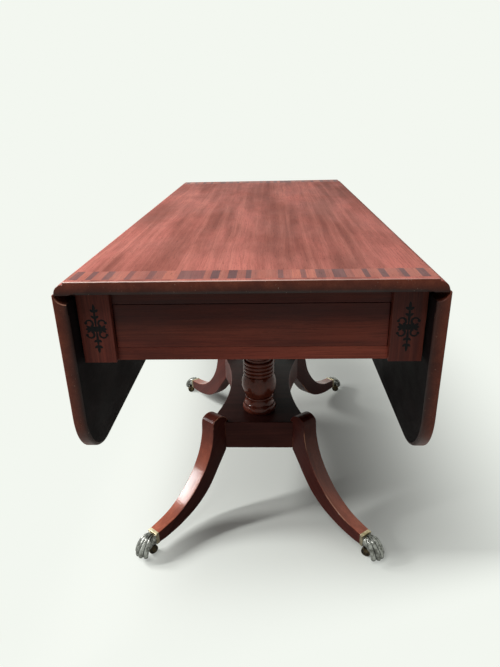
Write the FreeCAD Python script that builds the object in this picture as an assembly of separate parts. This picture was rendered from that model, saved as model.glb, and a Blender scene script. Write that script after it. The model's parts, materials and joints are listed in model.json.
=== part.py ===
import FreeCAD, Part
import math
import os

Vector = FreeCAD.Vector

# Top and leaves, in millimetres: X across, Y along the top, Z up from the floor
table_height = 725.0
top_length = 1200.0
bed_width = 536.0
board_thickness = 20.0
leaf_width = 302.0
leaf_corner_radius = 92.0
band_border = 11.0
band_width = 44.0
band_thickness = 1.5

# Rule joint: a flat step, then a quarter round that turns in the cove of the leaf
rule_fillet = 3.5
hinge_depth = 1.5
rule_clearance = 0.5

# Back-flap hinges in the rule joints
hinges_per_leaf = 3
hinge_end_inset = 150.0
hinge_width = 38.0
flap_thickness = 2.0
fixed_flap_length = 32.0
leaf_flap_length = 54.0
barrel_radius = 3.0
hinge_pin_radius = 1.5
middle_knuckle_share = 0.4
knuckle_gap = 0.3
screw_row_inset = 9.0
screw_head_radius = 3.0
screw_shank_radius = 1.6
screw_head_depth = 1.8
screw_length = 12.0
screw_spread_share = 0.5

# Clearances that several pieces share
swing_clearance = 0.5
running_clearance = 0.05
slide_clearance = 0.3
cut_overrun = 5.0

# Corner posts and end rails of the frieze
frieze_depth = 121.5
top_overhang = 29.0
post_width = 51.0
post_depth = 46.0
post_side_gap = 3.5
front_setback = 10.0
top_rail_height = 27.5
bottom_rail_height = 21.5
rail_tenon_length = 14.0
rail_tenon_thickness = 8.0
rail_tenon_setback = 4.0
tenon_shoulder = 5.0
side_tenon_share = 0.35
side_tenon_thickness = 8.0

# Side rails with hinged fly brackets outside them
side_rail_thickness = 22.0
fly_setback = 7.0
centre_block_length = 280.0
fly_length_share = 0.62
fly_tip_gap = 1.5
fly_grip_radius = 34.0
fly_pin_radius = 2.5
fly_knuckle_count = 3

# Drawer and what carries it
drawer_gap = 1.0
drawer_length = 420.0
drawer_front_thickness = 20.0
drawer_side_thickness = 10.0
drawer_back_thickness = 9.0
drawer_bottom_thickness = 6.0
drawer_bottom_rise = 6.0
drawer_groove = 4.0
drawer_back_drop = 8.0
dovetail_lap = 6.0
dovetail_count = 3
dovetail_root_share = 0.42
dovetail_tip_share = 0.62
runner_width = 24.0
stop_width = 30.0
stop_depth = 14.0
stop_height = 4.0
stop_offset = 120.0

# Bearers that tie the pillars to the frame
bearer_width = 90.0
bearer_lap = 8.5
bearer_screw_head_radius = 4.5
bearer_screw_radius = 2.5
bearer_screw_head_depth = 3.0
bearer_screw_length = 34.0

# Twin turned columns
column_offset = 131.0
column_radius = 43.5
column_tenon_radius = 16.0
column_tenon_length = 45.0

# Waisted platform with a slanting seat for a leg at each corner
platform_top = 240.0
platform_thickness = 75.0
platform_length = 406.0
platform_end_width = 166.0
platform_waist = 164.0
leg_splay = 52.0

# Sabre legs
leg_width = 40.0
leg_foot_width = 28.0
leg_reach = 250.0
leg_foot_height = 55.0
leg_seat_drop = 3.0
scroll_rise = 21.5
scroll_lip = 10.0
scroll_depth = 42.0
leg_tongue_root = 14.0
leg_tongue_tip = 20.0
leg_tongue_length = 16.0
leg_tongue_height = 62.0

# Paw caps
cap_cover = 24.0
cap_wall = 1.6
ferrule_length = 13.0
paw_length = 62.0
paw_half_width = 19.5
paw_toe_drop = 13.0
toe_count = 4
toe_half_length = 18.5
toe_radius = 6.4
toe_slant = 46.0
toe_fan = 9.0

# Castors under the paws
castor_reach = 4.0
castor_trail = 10.0
wheel_radius = 11.0
wheel_width = 12.0
wheel_round = 2.0
wheel_gap = 0.6
axle_radius = 2.0
axle_boss_radius = 4.2
cheek_thickness = 2.2
crown_thickness = 2.4
crown_radius = 9.0
stem_radius = 3.0
stem_length = 13.0
castor_headings = {"front_left": 40.0, "front_right": 150.0, "back_left": 200.0, "back_right": -6.0}

# Places worked out from the sizes above
bed_half = bed_width / 2
half_length = top_length / 2
top_underside = table_height - board_thickness
hinge_z = top_underside + hinge_depth
rule_radius = board_thickness - rule_fillet - hinge_depth
cove_radius = rule_radius + rule_clearance
leaf_inner = bed_half - hinge_depth
leaf_outer = leaf_inner + board_thickness
leaf_top = hinge_z - rule_clearance
leaf_bottom = hinge_z - leaf_width

frieze_bottom = top_underside - frieze_depth
post_outer = leaf_inner - post_side_gap
post_inner = post_outer - post_width
post_front = half_length - top_overhang
post_back = post_front - post_depth
front_face = post_front - front_setback
drawer_floor = frieze_bottom + bottom_rail_height
drawer_ceiling = top_underside - top_rail_height

side_rail_outer = post_inner + side_rail_thickness
fly_outer = post_outer - fly_setback
fly_inner = side_rail_outer + swing_clearance
fly_middle = (fly_inner + fly_outer) / 2
fly_knuckle_radius = (fly_outer - fly_inner) / 2
fly_axis = centre_block_length / 2 + fly_knuckle_radius
fly_tip = fly_axis + (post_back - fly_axis - fly_tip_gap) * fly_length_share
fly_top = top_underside - swing_clearance

bearer_bottom = frieze_bottom - bearer_lap
bearer_front = column_offset + bearer_width / 2
column_height = bearer_bottom - platform_top

platform_bottom = platform_top - platform_thickness
splay = math.radians(leg_splay)
seat_x = platform_end_width / 2 + leg_width / 2 * math.sin(splay)
seat_y = platform_length / 2 - leg_width / 2 * math.cos(splay)

cap_start = leg_reach - cap_cover
castor_place = leg_reach + castor_reach
crown_bottom = 2 * wheel_radius + wheel_gap
crown_top = crown_bottom + crown_thickness
cap_floor = crown_top + swing_clearance
leg_foot_bottom = cap_floor + cap_wall
castor_sweep = castor_trail + wheel_radius

# Outlines as shares of the sizes that they follow
leg_outer_shares = [
    (0.184, 0.750), (0.244, 0.545), (0.360, 0.342), (0.512, 0.176), (0.708, 0.054), (1.0, -0.012)
]
leg_inner_shares = [(0.112, 0.752), (0.268, 0.424), (0.440, 0.208), (0.640, 0.074), (0.820, 0.012)]

# Members of a column from its foot up: lower radius, upper radius, rise, swell
column_shares = [
    (0.908, 0.908, 14, 0.064),
    (0.897, 0.897, 3, 0),
    (0.862, 0.770, 14, -0.046),
    (0.793, 0.793, 4, 0.02),
    (0.736, 0.851, 52, 0.206),
    (0.805, 0.805, 2, 0),
    (0.851, 0.851, 7, 0.037),
    (0.851, 0.851, 7, 0.037),
    (0.851, 0.851, 7, 0.037),
    (0.839, 0.839, 3, 0),
    (0.885, 0.885, 16, 0.069),
    (0.770, 0.770, 3, 0),
    (0.736, 0.816, 40, 0.034),
    (0.816, 0.575, 100, 0.057),
    (0.621, 0.621, 8, 0.046),
    (0.598, 0.805, 28, -0.092),
    (0.839, 0.839, 4, 0),
    (0.851, 0.851, 12, 0.069),
    (0.943, 0.943, 11, 0),
]

quarter_mid_share = math.sqrt(0.5)
x_axis = Vector(1, 0, 0)
y_axis = Vector(0, 1, 0)
z_axis = Vector(0, 0, 1)
origin = Vector(0, 0, 0)
same_point = 1e-6

nodes = {}


# Small helpers

def box(x0, x1, y0, y1, z0, z1):
    return Part.makeBox(x1 - x0, y1 - y0, z1 - z0, Vector(x0, y0, z0))


def flip_x(shape):
    return shape.mirror(origin, x_axis)


def flip_y(shape):
    return shape.mirror(origin, y_axis)


def fused(shapes):
    whole = shapes[0]
    for shape in shapes[1:]:
        whole = whole.fuse(shape)
    return whole.removeSplitter()


def outline(start, *steps):
    # Each step is (point,) for a line, (middle, point) for an arc or [points] for a smooth curve
    edges = []
    here = start
    for step in steps:
        if isinstance(step, list):
            curve = Part.BSplineCurve()
            curve.interpolate([here] + step)
            edges.append(curve.toShape())
        elif len(step) == 2:
            edges.append(Part.Arc(here, step[0], step[1]).toShape())
        elif not here.isEqual(step[0], same_point):
            edges.append(Part.LineSegment(here, step[0]).toShape())
        here = step[-1]
    if not here.isEqual(start, same_point):
        edges.append(Part.LineSegment(here, start).toShape())
    return Part.Face(Part.Wire(edges))


def corners(shape):
    # The four mirrored copies of a piece that was made at the front right corner
    return {
        "front_right": shape,
        "front_left": flip_x(shape),
        "back_right": flip_y(shape),
        "back_left": flip_x(flip_y(shape)),
    }


def screw(place, direction, head_radius, shank_radius, head_depth, length):
    # Countersunk, with its flat head at place and its point along direction
    head = Part.makeCone(head_radius, shank_radius, head_depth, place, direction)
    shank_start = place + direction * head_depth
    shank = Part.makeCylinder(shank_radius, length - head_depth, shank_start, direction)
    return head.fuse(shank).removeSplitter()


def keep(name, *shapes):
    solids = [solid for shape in shapes for solid in shape.Solids]
    nodes[name] = solids[0] if len(solids) == 1 else Part.makeCompound(solids)


# Hinges, made for the right side

def hinge_places():
    span = top_length - 2 * hinge_end_inset
    return [span * (i / (hinges_per_leaf - 1) - 1 / 2) for i in range(hinges_per_leaf)]


def hinge_barrel(start, length, radius):
    return Part.makeCylinder(radius, length, Vector(bed_half, start, hinge_z), y_axis)


def fixed_flap(y):
    low = y - hinge_width / 2
    high = y + hinge_width / 2
    outer = hinge_width * (1 - middle_knuckle_share) / 2
    plate_end = bed_half - barrel_radius - swing_clearance
    plate_top = top_underside + flap_thickness
    parts = [box(bed_half - fixed_flap_length, plate_end, low, high, top_underside, plate_top)]
    for start in (low, high - outer):
        parts.append(box(plate_end, bed_half, start, start + outer, top_underside, plate_top))
        parts.append(hinge_barrel(start, outer, barrel_radius))
    return fused(parts).cut(hinge_pin(y))


def hinge_pin(y):
    return hinge_barrel(y - hinge_width / 2, hinge_width, hinge_pin_radius)


def leaf_flap(y):
    low = y - hinge_width / 2
    high = y + hinge_width / 2
    start = low + hinge_width * (1 - middle_knuckle_share) / 2 + knuckle_gap
    length = hinge_width * middle_knuckle_share - 2 * knuckle_gap
    plate_top = hinge_z - barrel_radius - swing_clearance
    plate_face = leaf_inner + flap_thickness
    parts = [
        box(leaf_inner, plate_face, low, high, hinge_z - leaf_flap_length, plate_top),
        box(leaf_inner, plate_face, start, start + length, plate_top, hinge_z),
        hinge_barrel(start, length, barrel_radius),
    ]
    return fused(parts).cut(hinge_barrel(start, length, hinge_pin_radius + running_clearance))


def flap_screws(y, leaf):
    screws = []
    for side in (-1, 1):
        across = y + side * hinge_width * screw_spread_share / 2
        place = Vector(bed_half - fixed_flap_length + screw_row_inset, across, top_underside)
        direction = z_axis
        if leaf:
            place = Vector(leaf_inner, across, hinge_z - leaf_flap_length + screw_row_inset)
            direction = x_axis
        sizes = (screw_head_radius, screw_shank_radius, screw_head_depth, screw_length)
        screws.append(screw(place, direction, *sizes))
    return screws


def top_hinge_recess(y):
    # Housing of the fixed flap, the barrel's groove and the way that the long flap swings through
    low = y - hinge_width / 2
    high = y + hinge_width / 2
    below = top_underside - cut_overrun
    housing = box(bed_half - fixed_flap_length, bed_half, low, high, below, top_underside + flap_thickness)
    swing_start = bed_half - barrel_radius - swing_clearance
    swing_top = top_underside + flap_thickness + swing_clearance
    swing_low = low - swing_clearance
    swing_high = high + swing_clearance
    swing_end = bed_half + rule_radius + cut_overrun
    swing = box(swing_start, swing_end, swing_low, swing_high, below, swing_top)
    groove = hinge_barrel(swing_low, swing_high - swing_low, barrel_radius + swing_clearance)
    return fused([housing, swing, groove])


# Top board, its leaves and their crossbanding

def rule_corner(side):
    # The quarter round of one long edge, from the top surface down to the underside
    step = Vector(side * bed_half, 0, table_height - rule_fillet)
    mid_reach = rule_radius * quarter_mid_share
    middle = Vector(side * (bed_half + mid_reach), 0, hinge_z + mid_reach)
    edge = Vector(side * (bed_half + rule_radius), 0, hinge_z)
    foot = Vector(side * (bed_half + rule_radius), 0, top_underside)
    return step, middle, edge, foot


def end_bands():
    low = table_height - band_thickness
    edge = -half_length + band_border
    front = box(-bed_half, bed_half, edge, edge + band_width, low, table_height)
    return [front, flip_y(front)]


def make_top():
    right = rule_corner(1)
    left = rule_corner(-1)
    start = Vector(-bed_half, 0, table_height)
    face = outline(
        start,
        (Vector(bed_half, 0, table_height),),
        (right[0],),
        (right[1], right[2]),
        (right[3],),
        (left[3],),
        (left[2],),
        (left[1], left[0]),
    )
    face.translate(y_axis * -half_length)
    board = face.extrude(y_axis * top_length)
    for y in hinge_places():
        recess = top_hinge_recess(y)
        screws = flap_screws(y, False)
        for cutter in [recess] + screws:
            board = board.cut(cutter).cut(flip_x(cutter))
    for band in end_bands():
        board = board.cut(band)
    keep("table_top", board)
    keep("end_crossbands", *end_bands())


def leaf_outline(x, inset, top):
    # The leaf seen from the side: square at the joint, rounded at its two free corners
    reach = half_length - inset
    low = leaf_bottom + inset
    radius = leaf_corner_radius - inset
    bend = radius * (1 - quarter_mid_share)
    if radius <= 0:
        return outline(
            Vector(x, -reach, top),
            (Vector(x, -reach, low),),
            (Vector(x, reach, low),),
            (Vector(x, reach, top),),
        )
    return outline(
        Vector(x, -reach, top),
        (Vector(x, -reach, low + radius),),
        (Vector(x, -reach + bend, low + bend), Vector(x, -reach + radius, low)),
        (Vector(x, reach - radius, low),),
        (Vector(x, reach - bend, low + bend), Vector(x, reach, low + radius)),
        (Vector(x, reach, top),),
    )


def leaf_band():
    start = leaf_outer - band_thickness
    outer = leaf_outline(start, band_border, leaf_top).extrude(x_axis * band_thickness)
    inner = leaf_outline(start, band_border + band_width, leaf_top).extrude(x_axis * band_thickness)
    return outer.cut(inner)


def make_leaves():
    cove_start = bed_half + math.sqrt(cove_radius ** 2 - rule_clearance ** 2)
    cove_end = hinge_z - math.sqrt(cove_radius ** 2 - hinge_depth ** 2)
    cove_mid = cove_radius * quarter_mid_share
    face = outline(
        Vector(leaf_outer, 0, leaf_top),
        (Vector(cove_start, 0, leaf_top),),
        (Vector(bed_half + cove_mid, 0, hinge_z - cove_mid), Vector(leaf_inner, 0, cove_end)),
        (Vector(leaf_inner, 0, leaf_bottom),),
        (Vector(leaf_outer, 0, leaf_bottom),),
    )
    face.translate(y_axis * -half_length)
    board = face.extrude(y_axis * top_length)
    board = board.common(leaf_outline(leaf_inner, 0, leaf_top).extrude(x_axis * board_thickness))
    band = leaf_band()
    board = board.cut(band)
    flaps = []
    screws = []
    for y in hinge_places():
        low = y - hinge_width / 2
        high = y + hinge_width / 2
        flap_end = hinge_z - leaf_flap_length
        face_in = leaf_inner - cut_overrun
        board = board.cut(box(face_in, leaf_inner + flap_thickness, low, high, flap_end, hinge_z))
        pair = flap_screws(y, True)
        flap = leaf_flap(y)
        for item in pair:
            board = board.cut(item)
            flap = flap.cut(item)
        flaps.append(flap)
        screws += pair
    for side, turn in (("right", lambda shape: shape), ("left", flip_x)):
        keep(f"leaf_{side}", turn(board))
        keep(f"leaf_crossband_{side}", turn(band))
        keep(f"hinge_leaf_flaps_{side}", *[turn(flap) for flap in flaps])
        keep(f"hinge_leaf_screws_{side}", *[turn(item) for item in screws])


def make_fixed_hinges():
    flaps = []
    pins = []
    screws = []
    for y in hinge_places():
        pair = flap_screws(y, False)
        flap = fixed_flap(y)
        for item in pair:
            flap = flap.cut(item)
        flaps += [flap, flip_x(flap)]
        pins += [hinge_pin(y), flip_x(hinge_pin(y))]
        screws += pair + [flip_x(item) for item in pair]
    keep("hinge_fixed_flaps", *flaps)
    keep("hinge_pins", *pins)
    keep("hinge_top_screws", *screws)


# Frieze: corner posts, end rails, side rails

def side_rail_tenon():
    # Front tenon of the right side rail, which goes into the back of the corner post
    middle = post_inner + side_rail_thickness / 2
    half = side_tenon_thickness / 2
    tip = post_back + post_depth * side_tenon_share
    low = frieze_bottom + tenon_shoulder
    high = top_underside - tenon_shoulder
    return box(middle - half, middle + half, -tip, -post_back, low, high)


def end_rail(bottom, top):
    # One front rail from post to post, with a tenon at each end
    low = -front_face + rail_tenon_setback
    tenon_reach = post_inner + rail_tenon_length
    body = box(-post_inner, post_inner, -front_face, -post_back, bottom, top)
    tenon_top = top - tenon_shoulder
    tenon_low = bottom + tenon_shoulder
    tenon = box(-tenon_reach, tenon_reach, low, low + rail_tenon_thickness, tenon_low, tenon_top)
    return body.fuse(tenon).removeSplitter()


def make_frieze():
    top_rail = end_rail(drawer_ceiling, top_underside)
    bottom_rail = end_rail(frieze_bottom, drawer_floor)
    keep("front_top_rail", top_rail)
    keep("front_bottom_rail", bottom_rail)
    keep("back_top_rail", flip_y(top_rail))
    keep("back_bottom_rail", flip_y(bottom_rail))
    post = box(post_inner, post_outer, -post_front, -post_back, frieze_bottom, top_underside)
    for joint in (top_rail, bottom_rail, side_rail_tenon()):
        post = post.cut(joint)
    for corner, shape in corners(post).items():
        keep(f"corner_post_{corner}", shape)
    tenon = side_rail_tenon()
    rail = box(post_inner, side_rail_outer, -post_back, post_back, frieze_bottom, top_underside)
    rail = fused([rail, tenon, flip_y(tenon)])
    for item in bearer_screw_set():
        rail = rail.cut(item)
    keep("side_rail_right", rail)
    keep("side_rail_left", flip_x(rail))
    dummy_back = front_face - drawer_front_thickness
    dummy = box(-post_inner, post_inner, dummy_back, front_face, drawer_floor, drawer_ceiling)
    keep("dummy_drawer_front", dummy)


# Fly brackets: wooden knuckles on a steel pin

def fly_knuckle(level, radius, spare):
    # One of the stacked knuckles at the front right bracket, made spare longer at both ends
    rise = (fly_top - frieze_bottom) / fly_knuckle_count
    base = frieze_bottom + rise * level - spare
    return Part.makeCylinder(radius, rise + 2 * spare, Vector(fly_middle, -fly_axis, base), z_axis)


def fly_pin():
    place = Vector(fly_middle, -fly_axis, frieze_bottom)
    return Part.makeCylinder(fly_pin_radius, fly_top - frieze_bottom, place, z_axis)


def make_fly_brackets():
    bracket_levels = range(1, fly_knuckle_count, 2)
    block_levels = range(0, fly_knuckle_count, 2)
    half_block = centre_block_length / 2
    bracket = box(fly_inner, fly_outer, -fly_tip, -fly_axis, frieze_bottom, fly_top)
    block = box(side_rail_outer, fly_outer, -half_block, half_block, frieze_bottom, fly_top)
    for level in block_levels:
        bracket = bracket.cut(fly_knuckle(level, fly_knuckle_radius + swing_clearance, knuckle_gap))
    for level in bracket_levels:
        bracket = bracket.fuse(fly_knuckle(level, fly_knuckle_radius, -knuckle_gap))
        hollow = fly_knuckle(level, fly_knuckle_radius + swing_clearance, 0)
        block = block.cut(hollow).cut(flip_y(hollow))
    for level in block_levels:
        knuckle = fly_knuckle(level, fly_knuckle_radius, 0)
        base = knuckle.BoundBox.ZMin
        top = knuckle.BoundBox.ZMax
        web = box(fly_inner, fly_outer, -fly_axis, -half_block, base, top)
        for part in (knuckle, web):
            block = block.fuse(part).fuse(flip_y(part))
    pin_hole = Part.makeCylinder(
        fly_pin_radius + running_clearance, fly_top, Vector(fly_middle, -fly_axis, 0), z_axis
    )
    bracket = bracket.removeSplitter().cut(pin_hole)
    grip_place = Vector(side_rail_outer, -fly_tip, frieze_bottom)
    grip = Part.makeCylinder(fly_grip_radius, fly_outer - side_rail_outer + cut_overrun, grip_place, x_axis)
    bracket = bracket.cut(grip)
    block = block.removeSplitter().cut(fly_pin()).cut(flip_y(fly_pin()))
    end_start = fly_tip + fly_tip_gap
    end_block = box(side_rail_outer, fly_outer, -post_back, -end_start, frieze_bottom, fly_top)
    for corner, shape in corners(bracket).items():
        keep(f"fly_bracket_{corner}", shape)
    keep("fly_pins", *corners(fly_pin()).values())
    keep("fly_centre_blocks", block, flip_x(block))
    keep("fly_end_blocks", *corners(end_block).values())


# Drawer, with lapped dovetails at its front corners

def drawer_half():
    return post_inner - drawer_gap


def dovetails():
    # Tails of the right drawer side, which run into the back of the drawer front
    low = drawer_floor + slide_clearance
    pitch = (drawer_ceiling - drawer_gap - low) / dovetail_count
    root_y = -front_face + drawer_front_thickness
    tip_y = -front_face + dovetail_lap
    start_x = drawer_half() - drawer_side_thickness
    tails = []
    for i in range(dovetail_count):
        middle = low + pitch * (i + 1 / 2)
        root = pitch * dovetail_root_share / 2
        tip = pitch * dovetail_tip_share / 2
        face = outline(
            Vector(start_x, root_y, middle - root),
            (Vector(start_x, tip_y, middle - tip),),
            (Vector(start_x, tip_y, middle + tip),),
            (Vector(start_x, root_y, middle + root),),
        )
        tails.append(face.extrude(x_axis * drawer_side_thickness))
    return tails


def make_drawer():
    half = drawer_half()
    low = drawer_floor + slide_clearance
    high = drawer_ceiling - drawer_gap
    inner_face = -front_face + drawer_front_thickness
    end = -front_face + drawer_length
    inner_half = half - drawer_side_thickness
    panel_low = low + drawer_bottom_rise
    panel_half = inner_half + drawer_groove
    panel_high = panel_low + drawer_bottom_thickness
    panel = box(-panel_half, panel_half, inner_face - drawer_groove, end, panel_low, panel_high)
    front = box(-half, half, -front_face, inner_face, low, high).cut(panel)
    side = fused([box(inner_half, half, inner_face, end, low, high)] + dovetails()).cut(panel)
    for tail in dovetails():
        front = front.cut(tail).cut(flip_x(tail))
    back = box(
        -inner_half, inner_half, end - drawer_back_thickness, end, panel_high, high - drawer_back_drop
    )
    keep("drawer_front", front)
    keep("drawer_sides", side, flip_x(side))
    keep("drawer_back", back)
    keep("drawer_bottom", panel)


def make_drawer_carriers():
    inner = post_inner - runner_width
    runner = box(inner, post_inner, -post_back, -bearer_front, frieze_bottom, drawer_floor)
    kicker = box(inner, post_inner, -post_back, -bearer_front, drawer_ceiling, top_underside)
    keep("drawer_runners", runner, flip_x(runner))
    keep("drawer_kickers", kicker, flip_x(kicker))
    stop_face = -front_face + drawer_front_thickness + slide_clearance
    stop = box(
        stop_offset - stop_width / 2,
        stop_offset + stop_width / 2,
        stop_face,
        stop_face + stop_depth,
        drawer_floor,
        drawer_floor + stop_height,
    )
    keep("drawer_stops", stop, flip_x(stop))


# Bearers and the columns that they stand on

def bearer_screw_set():
    # Screws up through the laps at the right ends of both bearers
    middle = post_inner + side_rail_thickness / 2
    screws = []
    for end in (-1, 1):
        for side in (-1, 1):
            y = end * column_offset + side * bearer_width * screw_spread_share / 2
            sizes = (
                bearer_screw_head_radius, bearer_screw_radius, bearer_screw_head_depth, bearer_screw_length
            )
            screws.append(screw(Vector(middle, y, bearer_bottom), z_axis, *sizes))
    return screws


def column_solid():
    rise_total = sum(member[2] for member in column_shares)
    steps = []
    z = platform_top
    for low_share, high_share, rise_share, swell_share in column_shares:
        top = z + column_height * rise_share / rise_total
        low_point = Vector(column_radius * low_share, 0, z)
        high_point = Vector(column_radius * high_share, 0, top)
        steps.append((low_point,))
        if swell_share:
            swell = column_radius * ((low_share + high_share) / 2 + swell_share)
            steps.append((Vector(swell, 0, (z + top) / 2), high_point))
        else:
            steps.append((high_point,))
        z = top
    steps.append((Vector(0, 0, z),))
    turned = outline(Vector(0, 0, platform_top), *steps).revolve(origin, z_axis, 360)
    lower = Part.makeCylinder(
        column_tenon_radius, column_tenon_length, Vector(0, 0, platform_top - column_tenon_length), z_axis
    )
    upper_length = drawer_floor - bearer_bottom
    upper = Part.makeCylinder(column_tenon_radius, upper_length, Vector(0, 0, bearer_bottom), z_axis)
    column = fused([turned, lower, upper])
    column.translate(y_axis * -column_offset)
    return column


def make_pillars():
    column = column_solid()
    low_y = -bearer_front
    high_y = low_y + bearer_width
    between = box(-post_inner, post_inner, low_y, high_y, frieze_bottom, drawer_floor)
    lap = box(-side_rail_outer, side_rail_outer, low_y, high_y, bearer_bottom, frieze_bottom)
    bearer = between.fuse(lap).removeSplitter()
    tenon = Part.makeCylinder(
        column_tenon_radius, drawer_floor - bearer_bottom, Vector(0, -column_offset, bearer_bottom), z_axis
    )
    bearer = bearer.cut(tenon)
    screws = bearer_screw_set()
    screws += [flip_x(item) for item in screws]
    for item in screws:
        bearer = bearer.cut(item)
    keep("bearers", bearer, flip_y(bearer))
    keep("bearer_screws", *screws)
    keep("column_front", column)
    keep("column_back", flip_y(column))


# Platform and legs: a leg is made along +X from its seat, then turned and set at its corner

def to_corner(shape):
    placed = shape.copy()
    placed.rotate(origin, z_axis, -leg_splay)
    placed.translate(Vector(seat_x, -seat_y, 0))
    return placed


def leg_tongue(height):
    # Dovetailed tongue that slides up into the platform
    root = leg_tongue_root / 2
    tip = leg_tongue_tip / 2
    face = outline(
        Vector(0, -root, platform_bottom),
        (Vector(-leg_tongue_length, -tip, platform_bottom),),
        (Vector(-leg_tongue_length, tip, platform_bottom),),
        (Vector(0, root, platform_bottom),),
    )
    return face.extrude(z_axis * height)


def leg_solid():
    scroll_top = platform_top + scroll_rise
    seat_bottom = platform_bottom - leg_seat_drop
    face_rise = scroll_top - leg_foot_height
    belly_rise = seat_bottom - leg_foot_bottom
    outer = [Vector(leg_reach * s, 0, leg_foot_height + face_rise * z) for s, z in leg_outer_shares]
    inner = [Vector(leg_reach * s, 0, leg_foot_bottom + belly_rise * z) for s, z in leg_inner_shares]
    roll = scroll_rise / 3
    shoulder = Vector(scroll_depth, 0, scroll_top - 2 * roll)
    brow = Vector(scroll_depth - roll, 0, scroll_top - roll * (1 - quarter_mid_share))
    cheek = Vector(scroll_depth - roll * (1 - quarter_mid_share), 0, scroll_top - roll)
    crest = Vector((scroll_depth - scroll_lip) / 3, 0, scroll_top)
    face = outline(
        Vector(0, 0, seat_bottom),
        (Vector(0, 0, platform_top),),
        (Vector(-scroll_lip, 0, platform_top),),
        (crest, brow),
        (cheek, shoulder),
        outer,
        (Vector(leg_reach, 0, leg_foot_bottom),),
        inner[::-1] + [Vector(0, 0, seat_bottom)],
    )
    face.translate(y_axis * (-leg_width / 2))
    slab = face.extrude(y_axis * leg_width)
    root = leg_width / 2
    foot = leg_foot_width / 2
    plan = outline(
        Vector(-scroll_lip, -root, 0),
        (Vector(scroll_depth, -root, 0),),
        (Vector(cap_start, -foot, 0),),
        (Vector(leg_reach, -foot, 0),),
        (Vector(leg_reach, foot, 0),),
        (Vector(cap_start, foot, 0),),
        (Vector(scroll_depth, root, 0),),
        (Vector(-scroll_lip, root, 0),),
    )
    leg = slab.common(plan.extrude(z_axis * scroll_top))
    return leg.fuse(leg_tongue(leg_tongue_height)).removeSplitter()


def make_platform():
    half_waist = platform_waist / 2
    half_end = platform_end_width / 2
    end_y = platform_length / 2
    wing_x = half_end + leg_width * math.sin(splay)
    wing_y = end_y - leg_width * math.cos(splay)
    face = outline(
        Vector(-half_end, -end_y, platform_bottom),
        (Vector(half_end, -end_y, platform_bottom),),
        (Vector(wing_x, -wing_y, platform_bottom),),
        (Vector(half_waist, 0, platform_bottom), Vector(wing_x, wing_y, platform_bottom)),
        (Vector(half_end, end_y, platform_bottom),),
        (Vector(-half_end, end_y, platform_bottom),),
        (Vector(-wing_x, wing_y, platform_bottom),),
        (Vector(-half_waist, 0, platform_bottom), Vector(-wing_x, -wing_y, platform_bottom)),
    )
    platform = face.extrude(z_axis * platform_thickness)
    socket = to_corner(leg_tongue(leg_tongue_height + slide_clearance))
    for cutter in corners(socket).values():
        platform = platform.cut(cutter)
    for y in (-column_offset, column_offset):
        place = Vector(0, y, platform_top - column_tenon_length)
        bore = Part.makeCylinder(column_tenon_radius, column_tenon_length, place, z_axis)
        platform = platform.cut(bore)
    keep("platform", platform)


# Paw caps: a square ferrule that spreads into toes

def toe(index):
    # An egg-shaped toe, slanted down and fanned out from the middle of the paw
    spread = index - (toe_count - 1) / 2
    half = Part.Arc(
        Part.Ellipse(Vector(toe_half_length, 0, 0), Vector(0, toe_radius, 0), origin), 0, math.pi
    ).toShape()
    base = Part.LineSegment(Vector(-toe_half_length, 0, 0), Vector(toe_half_length, 0, 0)).toShape()
    egg = Part.Face(Part.Wire([half, base])).revolve(origin, x_axis, 360)
    egg.rotate(origin, y_axis, toe_slant)
    egg.rotate(origin, z_axis, spread * toe_fan)
    tip = cap_start + paw_length - toe_half_length * math.cos(math.radians(toe_slant)) - cap_wall
    back_step = spread * spread * toe_radius / toe_count
    side_step = spread * 2 * (paw_half_width - toe_radius) / (toe_count - 1)
    lift = paw_toe_drop + toe_half_length * math.sin(math.radians(toe_slant))
    egg.translate(Vector(tip - back_step, side_step, lift))
    return egg


def paw_solid(leg):
    half_ferrule = leg_foot_width / 2 + cap_wall
    ferrule_top = leg_foot_height + cap_wall
    ferrule_end = cap_start + ferrule_length
    tip = cap_start + paw_length
    nose = (paw_length - ferrule_length) / 3
    side = outline(
        Vector(cap_start, 0, cap_floor),
        (Vector(cap_start, 0, ferrule_top),),
        (Vector(ferrule_end, 0, ferrule_top - cap_wall),),
        (
            Vector(ferrule_end + nose, 0, ferrule_top - cap_wall - nose / 4),
            Vector(tip - nose, 0, ferrule_top - nose),
        ),
        (
            Vector(tip - cap_wall, 0, (ferrule_top + paw_toe_drop) / 2 - cap_wall),
            Vector(tip - nose / 2, 0, paw_toe_drop + cap_wall),
        ),
        (Vector(castor_place, 0, paw_toe_drop + cap_wall),),
        (Vector(castor_place, 0, cap_floor),),
    )
    side.translate(y_axis * -paw_half_width)
    plan = outline(
        Vector(cap_start, -half_ferrule, 0),
        (Vector(ferrule_end, -half_ferrule, 0),),
        (Vector(tip - 2 * nose, -paw_half_width, 0), Vector(tip - nose, -paw_half_width + cap_wall, 0)),
        (Vector(tip - cap_wall, 0, 0), Vector(tip - nose, paw_half_width - cap_wall, 0)),
        (Vector(tip - 2 * nose, paw_half_width, 0), Vector(ferrule_end, half_ferrule, 0)),
        (Vector(cap_start, half_ferrule, 0),),
    )
    body = side.extrude(y_axis * (2 * paw_half_width)).common(plan.extrude(z_axis * table_height))
    paw = fused([body] + [toe(i) for i in range(toe_count)])
    well_radius = castor_sweep + swing_clearance
    well = Part.makeCylinder(well_radius, cap_floor, Vector(castor_place, 0, 0), z_axis)
    stem_bore = Part.makeCylinder(
        stem_radius + running_clearance,
        stem_length + swing_clearance,
        Vector(castor_place, 0, cap_floor - swing_clearance),
        z_axis,
    )
    return paw.cut(well).cut(stem_bore).cut(leg)


def make_legs():
    leg = leg_solid()
    paw = paw_solid(leg)
    for corner, shape in corners(to_corner(leg)).items():
        keep(f"leg_{corner}", shape)
    for corner, shape in corners(to_corner(paw)).items():
        keep(f"paw_cap_{corner}", shape)


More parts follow.
